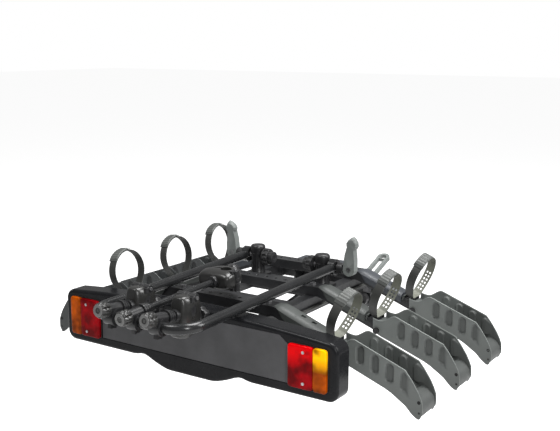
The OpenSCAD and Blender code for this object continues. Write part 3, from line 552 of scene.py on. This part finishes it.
def floor_share(pair):
    """Where the channel's floor meets its wall, as a share of the wall's height.

    The floor lies on the rail to just past its end, then drops faster towards the tip."""
    (tx, tz), (bx, bz) = pair
    steep_from, tip_from = 494, 518
    if tx > tip_from:
        return 0.31 + 0.5 * (tx - tip_from) / 44
    if tx < steep_from:
        floor = rail_z(tx) + 0.4
    else:
        floor = interpolate(((steep_from, rail_z(steep_from)), (556, LIFT - 54)), tx)
    return (floor - bz) / (tz - bz)


def oval_press(x, z):
    """Depth of the upright ovals pressed into a wall."""
    depth = 0
    for cx in OVALS:
        cz = rail_z(cx) + 21
        reach = max(abs(z - cz) - 12, 0)
        d = math.hypot(x - cx, reach)
        depth = max(depth, smooth_step((11.5 - d) / 3.4))
    return OVAL_DEPTH * depth


def channel_rings():
    """Cross-sections of one channel: two pressed walls with a top bead, and a floor plate."""
    skin = CHANNEL_HALF - 0.6
    inside = CHANNEL_HALF - CHANNEL_WALL
    bead_height, floor_plate = 3.2, 3.4
    rows = 30
    rings = []
    for pair in channel_stations():
        top, bottom = np.array(pair[0], float), np.array(pair[1], float)
        share = min(max(floor_share(pair), 0.08), 0.9)
        tall = max(np.linalg.norm(top - bottom), 12)

        def at(v, y, press=False):
            p = bottom + (top - bottom) * v
            pressed = oval_press(p[0], p[1]) if press else 0
            return (p[0], y - math.copysign(pressed, y) if y else 0, p[1])

        bead = 1 - bead_height / tall
        lip = 1 - 0.8 / tall
        side = [at(bead * k / rows, skin, True) for k in range(rows + 1)]
        side += [at(bead + 0.4 / tall, CHANNEL_HALF), at(lip, CHANNEL_HALF),
                 at(1, CHANNEL_HALF - 0.9), at(1, inside + 0.6), at(lip, inside)]
        side += [at(share + (bead - share) * k / rows, skin + 0.2 - CHANNEL_WALL, k > 0)
                 for k in range(rows, -1, -1)]
        side += [at(share, y) for y in (30, 20, 8)]
        mirrored = [(x, -y, z) for x, y, z in reversed(side)]
        foot = skin - CHANNEL_WALL
        under = [at(share - floor_plate / tall, y) for y in (-foot, -20, 0, 20, foot)]
        rings.append(side + mirrored + [at(0, -foot)] + under + [at(0, foot)])
    return rings


def mark_shade(piece, rings):
    """Shades the pressed ovals and the inside of the channel's steep end."""
    shade = piece.data.attributes.new("shade", "FLOAT", "POINT")
    inner_face = CHANNEL_HALF - 0.3 - CHANNEL_WALL
    for v, (x, y, z) in enumerate(p for ring in rings for p in ring):
        pit = oval_press(x, z) / OVAL_DEPTH if abs(y) > 30 else 0
        hollow = 0.6 if abs(y) < inner_face and x > 440 else 0
        shade.data[v].value = max(0.62 * pit, hollow)


def build_channels():
    rings = channel_rings()
    screw_seat = CHANNEL_HALF - 0.9
    for s, name in ((-1, "left"), (1, "right")):
        for i, tray in enumerate(TRAYS):
            placed = [[(s * x * MM, tray + y * MM, z * MM) for x, y, z in ring] for ring in rings]
            # The left channels take the darker copy of the channel colour: painted shade.
            piece = add_piece(f"wheel_channel_{name}_{i + 1}", *loft(placed), "platform",
                              "channel_stone" if s > 0 else "channel_slate")
            shade_smooth(piece, 42)
            mark_shade(piece, rings)
            screws = []
            for out in (-1, 1):
                head = ((1, -0.2), (1, 0.5), (0.9, 0.8), (0.5, 0.8), (0.4, 0.3))
                for x, z, r in TIP_SCREWS:
                    hub = Matrix.Translation((s * x * MM, tray + out * screw_seat * MM,
                                              (z + LIFT) * MM))
                    screws.append(lathe(hub @ Matrix.Scale(MM, 4),
                                        [(r * part, y * out) for part, y in head], 20, axis="Y"))
            add_piece(f"channel_screws_{name}_{i + 1}", *merge(screws), "platform", "gasket")
            if s > 0 and i == 0:
                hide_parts("wheel_channels")


def build_noses():
    """Caps on the sloping rails: a blunt tip towards the middle, skirts over the rail's sides."""
    low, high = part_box("nose_caps")
    end = high.x / MM
    start = end - 141
    half = (high.y - low.y - 2 * PITCH) / 2 / MM
    skirted = 22
    rail_fit = 20.4
    rings = []
    for x, share in ((0, 0.5), (5, 0.7), (11, 0.84), (18, 0.94), (26, 0.99), (34, 1), (90, 1),
                     (128, 1), (135, 0.99), (140, 0.95), (141, 0.9)):
        w = half * share
        rise = 9 * smooth_step(x / 26 + 0.12) * (1 if x < 135 else share ** 2)
        skirt = -15 * smooth_step((x - 16) / 18) if w > skirted else 0.4
        inner = min(rail_fit, w - 2)
        outer = [(w, skirt), (w, 1 if w > skirted else 0.9), (w - 2.5, rise * 0.45 + 1),
                 (w * 0.62, rise), (w * 0.3, rise + 0.6), (0, rise + 0.8)]
        section = outer + [(-y, h) for y, h in reversed(outer[:-1])]
        section += [(-inner, skirt), (-inner, 0.4), (inner, 0.4), (inner, skirt)]
        at = start + x
        rings.append([(at, y, rail_z(at) + h) for y, h in section])
    for s, name in ((-1, "left"), (1, "right")):
        for i, tray in enumerate(TRAYS):
            placed = [[(s * p[0] * MM, tray + p[1] * MM, p[2] * MM) for p in ring]
                      for ring in rings]
            verts, faces = loft(placed)
            material = "slate_plastic" if i == 2 else "khaki_plastic"
            piece = add_piece(f"nose_cap_{name}_{i + 1}", verts, faces, "platform", material)
            pockets = []
            for x in (end - 66, end - 36):
                place = Matrix.Translation((s * x * MM, tray, (rail_z(x) + 9) * MM))
                place = place @ Matrix.Rotation(s * SLOPE_ANGLE, 4, "Y") @ Matrix.Scale(MM, 4)
                pockets.append(cutter(*slab(place, (-6, 6), (-5, 5), (-3, 4))))
            cut(piece, pockets)
            shade_smooth(piece, 35)
            round_edges(piece, 1.0)
            if s > 0 and i == 0:
                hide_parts("nose_caps")


# ---------------------------------------------------------------- straps

# Foot of a strap's loop, and half its width at the foot and at its widest, the shoulder
STRAP_X = 322
STRAP_Z = RAIL_TOP - 49
STRAP_FOOT = 22
STRAP_HALF = 57
SHOULDER = 65
STRAP_LEAN = {"left": 8, "right": 20}
STRAP_WALL = 3


def leg_y(h):
    """Half spacing of a strap's legs at height h above its foot, in millimetres."""
    return STRAP_FOOT + (STRAP_HALF - STRAP_FOOT) * math.sin(math.pi / 2 * h / SHOULDER)


def stand_strap(side, tray, x, y, h):
    """Point of a strap loop in the row frame: x across the strap, y and h in the loop's plane."""
    lean = math.radians(STRAP_LEAN[side])
    s = 1 if side == "right" else -1
    out = STRAP_X + x * math.cos(lean) + h * math.sin(lean)
    up = STRAP_Z - x * math.sin(lean) + h * math.cos(lean)
    return (s * out * MM, tray + y * MM, up * MM)


def strap_path(count=144):
    """Closed centre line of a strap loop from the middle of its foot, evenly spaced, in mm."""
    inset = STRAP_WALL / 2
    r = STRAP_HALF - inset
    keys = [(0, inset), (STRAP_FOOT - 7, inset), (STRAP_FOOT - 3, inset + 1.2)]
    keys += [(leg_y(h) - inset * (1.4 - 0.4 * h / SHOULDER), h) for h in range(5, SHOULDER, 6)]
    keys += [(r * math.cos(math.radians(a)), SHOULDER + r * math.sin(math.radians(a)))
             for a in range(0, 91, 6)]
    keys += [(-y, h) for y, h in reversed(keys[:-1])]
    pts = np.array(keys, float)
    along = np.concatenate([[0], np.cumsum(np.linalg.norm(np.diff(pts, axis=0), axis=1))])
    ts = np.linspace(0, along[-1], count + 1)[:-1]
    return np.column_stack([np.interp(ts, along, pts[:, k]) for k in (0, 1)])


def build_straps():
    path = strap_path()
    count = len(path)
    tangent = np.roll(path, -1, axis=0) - np.roll(path, 1, axis=0)
    tangent /= np.linalg.norm(tangent, axis=1)[:, None]
    normal = np.column_stack([tangent[:, 1], -tangent[:, 0]])
    half_w = 12
    columns = np.linspace(-half_w, half_w, 13)
    wide = len(columns)
    # Adjustment holes along the lower part of the leg on the vehicle's side
    holes = {(r, c) for r in range(14, 36, 4) for c in (4, 8)}
    for side in ("left", "right"):
        for i, tray in enumerate(TRAYS):
            verts, faces = [], []
            for k in range(count):
                ridge = 0.3 if k % 2 and 45 < k < 110 else 0
                for x in columns:
                    lift = ridge if abs(x) < half_w * 0.8 else 0
                    y, h = path[k] + normal[k] * lift
                    verts.append(stand_strap(side, tray, x, y, h))
            for k in range(count):
                n = (k + 1) % count
                for c in range(wide - 1):
                    if side == "left" or not any(k in (r, r + 1) and c in (q - 1, q)
                                                 for r, q in holes):
                        faces.append((k * wide + c, k * wide + c + 1,
                                      n * wide + c + 1, n * wide + c))
            strap = add_piece(f"wheel_strap_{side}_{i + 1}", verts, faces, "platform",
                              "strap_rubber")
            inner = "strap_inner" if side == "right" else "strap_rubber"
            strap.data.materials.append(MATERIALS[inner])
            thick = strap.modifiers.new("thickness", "SOLIDIFY")
            thick.thickness = 2.4 * MM
            thick.offset = 0
            thick.material_offset = 1
            sub = strap.modifiers.new("subdivide", "SUBSURF")
            sub.levels = sub.render_levels = 1
            if side == "right" and i == 0:
                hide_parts("wheel_straps")


def build_buckles():
    half_w = 13.6
    steps = 66
    rings = []
    for k in range(steps + 1):
        a = math.radians(81 + 63 * k / steps)
        ends = min(1, 0.25 + 5 * min(k, steps - k) / steps)
        rib = 0.9 * (0.5 + 0.5 * math.sin(k * math.tau / 8.25)) if 6 < k < steps - 6 else 0
        base = STRAP_HALF + 0.5
        high = STRAP_HALF + 4.5 * ends + rib
        rings.append([(x, r * math.cos(a), SHOULDER + r * math.sin(a)) for x, r in (
            (-half_w, base), (-half_w, base + 2), (-half_w * 0.9, high - 0.5),
            (-half_w * 0.8, high), (0, high), (half_w * 0.8, high), (half_w * 0.9, high - 0.5),
            (half_w, base + 2), (half_w, base))])
    for side in ("left", "right"):
        for i, tray in enumerate(TRAYS):
            placed = [[stand_strap(side, tray, *p) for p in ring] for ring in rings]
            verts, faces = loft(placed)
            piece = add_piece(f"strap_buckle_{side}_{i + 1}", verts, faces, "platform",
                              "buckle_grey")
            round_edges(piece, 0.4)
            if side == "right" and i == 0:
                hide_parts("strap_buckles")


# ---------------------------------------------------------------- holding arms

# In a jaw pair's own frame: the mouth points along -X, the seam is the plane y = 0
JAW_DEPTH = 36.3
JAW_HALF = 25.6
GRIP_X, GRIP_R = 11, 14
PIVOT_X = 40
KNOB_X = -10
CUT_REACH = 40


def arm_frame(side):
    """Matrix from millimetres in a jaw pair's own frame (rod along Y) to the row frame."""
    opening = JOINTS[f"jaw_{side}_open"]
    up = -Vector(opening["axis"])
    rod = Vector(JOINTS[f"jaw_knob_{side}_spin"]["axis"])
    right = rod.cross(up)
    origin = Vector(opening["pos_m"]) - right * PIVOT_X * MM
    turn = Matrix((right, rod, up)).transposed().to_4x4()
    return Matrix.Translation(origin) @ turn @ Matrix.Scale(MM, 4)


def merge(parts):
    """Joins (points, faces) pairs into one."""
    verts, faces = [], []
    for points, polygons in parts:
        start = len(verts)
        verts += list(points)
        faces += [tuple(start + i for i in polygon) for polygon in polygons]
    return verts, faces


def lathe(matrix, profile, count=48, lobes=0, depth=0.0, axis="Z"):
    """Turned solid from (radius, height, lobe share) steps; lobes flute it by depth."""
    rings = []
    for step in profile:
        radius, height = step[:2]
        share = step[2] if len(step) > 2 else 1
        ring = []
        for k in range(count):
            a = math.tau * k / count
            flute = depth * share * (0.5 - 0.5 * math.cos(lobes * a)) ** 2 if lobes else 0
            r = max(radius - flute, 0.05)
            c, d = r * math.cos(a), r * math.sin(a)
            ring.append((c, d, height) if axis == "Z" else (c, height, -d) if axis == "Y"
                        else (height, c, d))
        rings.append(ring)
    return loft(placed_rings(matrix, rings))


def clam_half(matrix, sign, tall):
    """Half of a jaw pair, from the seam outward: a full barrel on the bar's side (sign -1), a
    rounder dome on the knob's side. tall is half its height at the seam."""
    mouth, back, gap = 54.5, 45.5, 0.8
    fullness, least = (0.5, 0.2) if sign < 0 else (0.62, 0.12)
    square = 0.6 if sign < 0 else 0.8
    rings = []
    steps = 15
    for k in range(steps):
        t = math.pi / 2 * k / (steps - 1)
        y = gap + (JAW_DEPTH + gap) * math.sin(t)
        shrink = least + (1 - least) * max(math.cos(t), 0.0) ** fullness
        lip = 1.0 if k > 1 else 0.985
        ring = []
        for n in range(48):
            a = math.tau * n / 48
            c, d = math.cos(a), math.sin(a)
            along = (mouth if c < 0 else back) * math.copysign(abs(c) ** square, c)
            up = tall * math.copysign(abs(d) ** (square - 0.1), d)
            if sign < 0:
                ring.append((along * (0.66 + 0.34 * shrink) * lip, -y, up * shrink * lip))
            else:
                ring.append((along * shrink * lip, y, up * (0.4 + 0.6 * shrink) * lip))
        rings.append(ring)
    return loft(placed_rings(matrix, rings))


def grip_pad(matrix, sign, reach):
    """Soft half ring that lines one side of a grip."""
    outline = [(GRIP_X + r * math.cos(a), sign * r * math.sin(a))
               for r, angles in ((GRIP_R - 0.1, range(12, 169, 6)), (5.5, range(150, 29, -6)))
               for a in (math.radians(d) for d in angles)]
    rings = [[(x, y, z) for x, y in outline] for z in (-reach, reach)]
    return loft(placed_rings(matrix, rings))


def upright_cutter(matrix, x, radius):
    """Temporary cylinder across a jaw pair, at x along its length."""
    place = matrix @ Matrix.Translation((x, 0, 0))
    return cutter(*lathe(place, [(radius, -CUT_REACH), (radius, CUT_REACH)], 40))


def build_jaws(side):
    """Both shells of a jaw pair with their hinge knuckles, and the knob that closes them."""
    frame_of = arm_frame(side)
    for sign, node, body in ((-1, f"fixed_jaw_{side}", f"arm_{side}"),
                             (1, f"moving_jaw_{side}", f"jaw_{side}")):
        tall = 18 if sign > 0 and side != "middle" else JAW_HALF
        jaw = add_piece(f"{node}_shell", *clam_half(frame_of, sign, tall), body, "jaw_plastic")
        lead = [(-56, 9), (-26, 3), (GRIP_X, 3), (GRIP_X, -3), (-26, -3), (-56, -9)]
        rings = [[(x, y, z) for x, y in lead] for z in (-CUT_REACH, CUT_REACH)]
        mouth = cutter(*loft(placed_rings(frame_of, rings)))
        cut(jaw, [upright_cutter(frame_of, GRIP_X, GRIP_R), mouth,
                  upright_cutter(frame_of, PIVOT_X, 11)])
        shade_smooth(jaw, 38)
        round_edges(jaw, 1.2, 2, 45)
        spans = ((-26, -6.1), (6.1, 26)) if sign < 0 else ((-5.9, 5.9),)
        parts = []
        inset = 1.2
        for low, high in spans:
            parts.append(lathe(frame_of @ Matrix.Translation((PIVOT_X, 0, 0)),
                               [(10 - inset, low), (10, low + inset), (10, high - inset),
                                (10 - inset, high)], 36))
            parts.append(slab(frame_of, (31, 42), (sign * 2, sign * 15), (low + 0.6, high - 0.6)))
        if side != "middle":
            parts.append(grip_pad(frame_of, sign, tall - 1.6))
        if sign < 0:
            parts.append(lathe(frame_of, [(12, -47.8), (14.4, -46.6), (14.8, -44), (14.8, -34)], 40,
                               axis="Y"))
        for x, z in ((-22, 0.66 * tall), (-22, -0.66 * tall)):
            parts.append(lathe(frame_of @ Matrix.Translation((x, 0, z)),
                               [(3.4, sign * 27), (3.4, sign * 31.4), (2.6, sign * 32.2)], 20,
                               axis="Y"))
        knuckle = add_piece(f"{node}_hinge", *merge(parts), body, "black_plastic")
        shade_smooth(knuckle, 38)
        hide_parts(node)
    knob_at = frame_of @ Matrix.Translation((KNOB_X, 0, 0))
    disc_from = 43.2
    profile = [(10.6, 38.6), (11, 39.2), (12, 41.4), (15.6, 43, 0), (18.4, 42.8), (20.8, 43.6),
               (22, 46), (22, 58), (21.2, 61), (19, 63.6, 0.8), (15.4, 65.4, 0.5), (10, 66, 0),
               (7.4, 65.8, 0), (6.6, 65, 0), (6.2, 60.5, 0)]
    profile = [step if len(step) > 2 else (*step, int(step[1] > disc_from)) for step in profile]
    parts = [lathe(knob_at, profile, 72, 6, 2.6, "Y"),
             lathe(knob_at, [(3.4, -15.6), (3.4, 40)], 24, axis="Y")]
    knob = add_piece(f"jaw_knob_{side}_dome", *merge(parts), f"jaw_knob_{side}", "black_plastic")
    shade_smooth(knob, 40)
    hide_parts(f"jaw_knob_{side}")


def build_bar_knob(side):
    """Lobed knob of a bar clamp, with a paler ring round its square socket as painted highlight."""
    joint = JOINTS[f"bar_knob_{side}_spin"]
    rod = Vector(joint["axis"])
    right = Vector((1, 0, 0))
    turn = Matrix((right, rod, right.cross(rod))).transposed().to_4x4()
    place = Matrix.Translation(joint["pos_m"]) @ turn @ Matrix.Scale(MM, 4)
    profile = [(14.6, 13.9, 0), (16, 13.2, 0.2), (17.6, 11, 1), (18, 8, 1), (18, 2, 1),
               (16.4, 1, 0.6), (16.4, -0.4, 0.6), (18, -1.4, 1), (18, -5, 1), (17.3, -8.4, 1),
               (15.4, -11.4, 0.5), (13, -12.9, 0), (12.6, -12, 0), (12.2, -12, 0),
               (11.8, -13.1, 0), (10.8, -13.3, 0), (7, -13.3, 0), (6.4, -13, 0), (1, -13, 0)]
    knob = add_piece(f"bar_knob_{side}_grip", *lathe(place, profile, 96, 8, 3.2, "Y"),
                     f"bar_knob_{side}", "jaw_plastic")
    cut(knob, [cutter(*slab(place, (-3.4, 3.4), (-15, -5), (-3.4, 3.4)))])
    shade_smooth(knob, 40)
    # Paler ring on the knob's face: a painted highlight.
    ring = [(13.2, -12.7), (13.8, -13.4), (13.2, -13.9), (7.6, -13.9), (7, -13.4), (7, -12.7)]
    add_piece(f"bar_knob_{side}_face", *lathe(place, ring, 40, axis="Y"), f"bar_knob_{side}",
              "knob_face")
    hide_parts(f"bar_knob_{side}")


# ---------------------------------------------------------------- fold hinge

POST_X = 0.106
COLLAR_X = 0.1645


def build_frame_tube():
    """One bent tube with a round eye on each end, drawn about the fold axis."""
    droop = math.radians(1.2)
    place = Matrix.Translation(JOINTS["frame_fold"]["pos_m"])
    place = place @ Matrix.Rotation(droop, 4, "X") @ Matrix.Scale(MM, 4)
    length, leg, bend, radius = 623, 142, 55, 12.5
    half = [(0.0, -length, 0.0)]
    half += [(x, -length, 0.0) for x in range(12, leg - bend, 12)]
    for i in range(19):
        a = math.radians(-90 + 90 * i / 18)
        half.append((leg - bend + bend * math.cos(a), bend - length + bend * math.sin(a), 0.0))
    half += [(leg, float(y), 0.0) for y in range(bend - length + 20, -12, 20)] + [(leg, -8.0, 0.0)]
    path = [(-x, y, z) for x, y, z in reversed(half[1:])] + half
    pts = np.array(path)
    tangent = np.gradient(pts, axis=0)
    tangent /= np.linalg.norm(tangent, axis=1)[:, None]
    rings = []
    for p, t in zip(pts, tangent):
        side = np.array((t[1], -t[0], 0.0))
        rings.append([tuple(p + radius * (math.cos(a) * side + math.sin(a) * np.array((0, 0, 1))))
                      for a in (math.tau * k / 40 for k in range(40))])
    parts = [loft(placed_rings(place, rings))]
    eye = [(8.3, -10.8), (19.6, -10.8), (21.8, -8.8), (21.8, 8.8), (19.6, 10.8), (8.3, 10.8)]
    for s in (-1, 1):
        parts.append(lathe(place @ Matrix.Translation((s * leg, 0, 0)), eye, 56, axis="X"))
    tube = add_piece("holding_frame_tube", *merge(parts), "fold_frame", "steel_satin_black")
    shade_smooth(tube, 36)
    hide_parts("u_frame")


def build_hinge_barrels():
    """Moulded posts that carry the fold axis, each with a foot plate, a collar and ribs."""
    low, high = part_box("hinge_brackets")
    fold = Vector(JOINTS["frame_fold"]["pos_m"])
    foot = low.z / MM
    top = high.z / MM
    for side, s in (("left", -1), ("right", 1)):
        place = Matrix.Translation((s * POST_X, fold.y, 0)) @ Matrix.Scale(MM, 4)
        profile = [(21, foot + 5), (20.6, foot + 9), (18.6, foot + 14), (17, foot + 24),
                   (16.4, foot + 38), (16.8, foot + 52), (17.8, foot + 60), (20.4, foot + 62),
                   (20.9, foot + 64), (20.9, top - 9), (20, top - 4), (17.4, top - 1.2),
                   (13, top - 0.2), (5, top)]
        base = []
        for inset, z in ((0, foot), (0, foot + 4.4), (0.5, foot + 5.4), (1.4, foot + 6)):
            base.append([(x, y, z) for x, y in rounded_rect(inset - 33, 33 - inset, inset - 25,
                                                            25 - inset, 8 - inset)])
        collar_at = Matrix.Translation((s * COLLAR_X, fold.y, fold.z)) @ Matrix.Scale(MM, 4)
        collar = [(8.1, -8.9), (13.6, -8.9), (14.9, -7.6), (14.9, 7.6), (13.6, 8.9), (8.1, 8.9)]
        parts = [lathe(place, profile, 56), loft(placed_rings(place, base)),
                 lathe(collar_at, collar, 44, axis="X")]
        # Upright stiffening ribs round the waist
        for k in range(8):
            spin = place @ Matrix.Rotation(math.tau * (k + 0.5) / 8, 4, "Z")
            parts.append(slab(spin, (15, 19.4), (-1.1, 1.1), (foot + 10, foot + 61)))
        piece = add_piece(f"hinge_barrel_{side}", *merge(parts), "platform", "black_plastic")
        shade_smooth(piece, 36)
        round_edges(piece, 0.5, 2, 45)
        if s > 0:
            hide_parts("hinge_brackets")


# ---------------------------------------------------------------- CAD nodes that stay

# Material, and width of the rounding on hard edges, in millimetres
KEPT = {
    "coupling_body": ("cast_black", 2.5), "cup_liner": ("liner", 0.4), "lever_pin": ("zinc", 0.8),
    "tilt_pin": ("zinc", 1), "coupling_handle": ("stone_plastic", 2), "ball_jaw": ("zinc", 0.5),
    "pedal_pin": ("zinc", 0.8), "chassis_frame": ("rail_black", 2),
    "mechanism_cover": ("slate_plastic", 2), "tray_rails": ("rail_black", 0.9),
    "channel_bolts": ("black_plastic", 1.2), "strap_anchors": ("black_plastic", 1.5),
    "strap_clips": ("khaki_plastic", 1.2), "rail_end_caps": ("black_plastic", 1),
    "rail_bolts": ("zinc", 0.7), "plate_board": ("plate_grey", 0.6),
    "panel_brackets": ("steel_satin_black", 1), "lamp_bases": ("lamp_back", 0.6),
    "lamp_gaskets": ("gasket", 0.4), "lamp_bulbs": ("bulb", 0.4), "lamp_screws": ("zinc", 0.5),
    "wiring_loom": ("strap_rubber", 0.5), "plug": ("black_plastic", 1),
    "plug_holder": ("black_plastic", 1),
    "hinge_bolts": ("zinc", 1), "hand_wheel_left": ("black_plastic", 1.6),
    "hand_wheel_right": ("black_plastic", 1.6), "cam_lever_left": ("stone_plastic", 2.4),
    "cam_lever_right": ("stone_plastic", 2.4), "foot_pedal": ("steel_satin_black", 1.5),
}
for side_name in SIDES:
    KEPT[f"arm_clamp_{side_name}"] = ("black_plastic", 1.2)
    KEPT[f"arm_rod_{side_name}"] = ("steel_satin_black", 0.6)
    KEPT[f"arm_bolts_{side_name}"] = ("zinc", 0.6)


def dress_cad():
    for node, (material, width) in KEPT.items():
        piece = frame["nodes"][node]
        paint(piece, material)
        shade_smooth(piece)
        round_edges(piece, width)


# ---------------------------------------------------------------- stage

def area_light(name, place, target, size, power):
    light = bpy.data.lights.new(name, "AREA")
    light.shape = "RECTANGLE"
    light.size, light.size_y = size
    light.energy = power
    lamp = bpy.data.objects.new(name, light)
    lamp.location = place
    lamp.rotation_euler = (Vector(target) - Vector(place)).to_track_quat("-Z", "Y").to_euler()
    bpy.context.scene.collection.objects.link(lamp)


def build_stage():
    """White studio: the camera sees plain white, the object is lit by a dimmer surround."""
    scene = bpy.context.scene
    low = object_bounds()[0]
    # The carrier hangs on a tow ball: its floor lies below the tilted platform
    floor_z = low[2] - 0.45
    reach = 30
    mesh = bpy.data.meshes.new("floor")
    mesh.from_pydata([(-reach, -reach, floor_z), (reach, -reach, floor_z), (reach, reach, floor_z),
                      (-reach, reach, floor_z)], [], [(0, 1, 2, 3)])
    floor = bpy.data.objects.new("floor", mesh)
    scene.collection.objects.link(floor)
    mat = surface("floor_white", (0.8, 0.8, 0.8), 0.9, bump=0.0, mottle=0.01, edge_wear_and_sheen=0, grain=60,
                  spec=0)
    tree = mat.node_tree
    shader = tree.nodes["Principled BSDF"]
    seen = tree.nodes.new("ShaderNodeLightPath").outputs["Is Camera Ray"]
    shader.inputs["Emission Color"].default_value = (1, 1, 1, 1)
    tree.links.new(remap(tree, seen, 0, 1, 0, 0.72), shader.inputs["Emission Strength"])
    mesh.materials.append(mat)
    world = bpy.data.worlds.new("studio")
    world.use_nodes = True
    tree = world.node_tree
    background = tree.nodes["Background"]
    seen = tree.nodes.new("ShaderNodeLightPath").outputs["Is Camera Ray"]
    background.inputs["Color"].default_value = (1, 1, 1, 1)
    tree.links.new(remap(tree, seen, 0, 1, 0.3, 1.0), background.inputs["Strength"])
    scene.world = world
    area_light("key", (-0.9, -2.0, 3.2), (0, -0.5, 0), (1.2, 1.2), 46)
    area_light("top", (0.4, 0.2, 3.0), (0, -0.5, 0), (2.0, 1.2), 92)
    area_light("rim", (2.5, 0.6, 1.9), (0, -0.4, 0), (0.9, 1.4), 60)
    area_light("strip", (2.3, -2.3, 1.5), (0, -0.9, 0.2), (0.3, 1.4), 34)
    scene.view_settings.view_transform = "Standard"


def build_camera():
    """Three-quarter rear view, to the right of the centre plane and a little above."""
    azimuth, elevation = math.radians(33.7), math.radians(10.9)
    back = Vector((math.sin(azimuth) * math.cos(elevation),
                   -math.cos(azimuth) * math.cos(elevation), math.sin(elevation)))
    camera = bpy.data.cameras.new("camera")
    camera.lens = 58.2
    camera.sensor_width = 36
    view = bpy.data.objects.new("camera", camera)
    view.location = (1.331, PANEL_FACE - 1.6, 0.811)
    view.rotation_euler = back.to_track_quat("Z", "Y").to_euler()
    bpy.context.scene.collection.objects.link(view)
    bpy.context.scene.camera = view


dress_cad()
build_light_panel()
build_lamps()
build_channels()
build_noses()
build_straps()
build_buckles()
build_frame_tube()
build_hinge_barrels()
for side_name in SIDES:
    build_jaws(side_name)
    build_bar_knob(side_name)
build_stage()
build_camera()
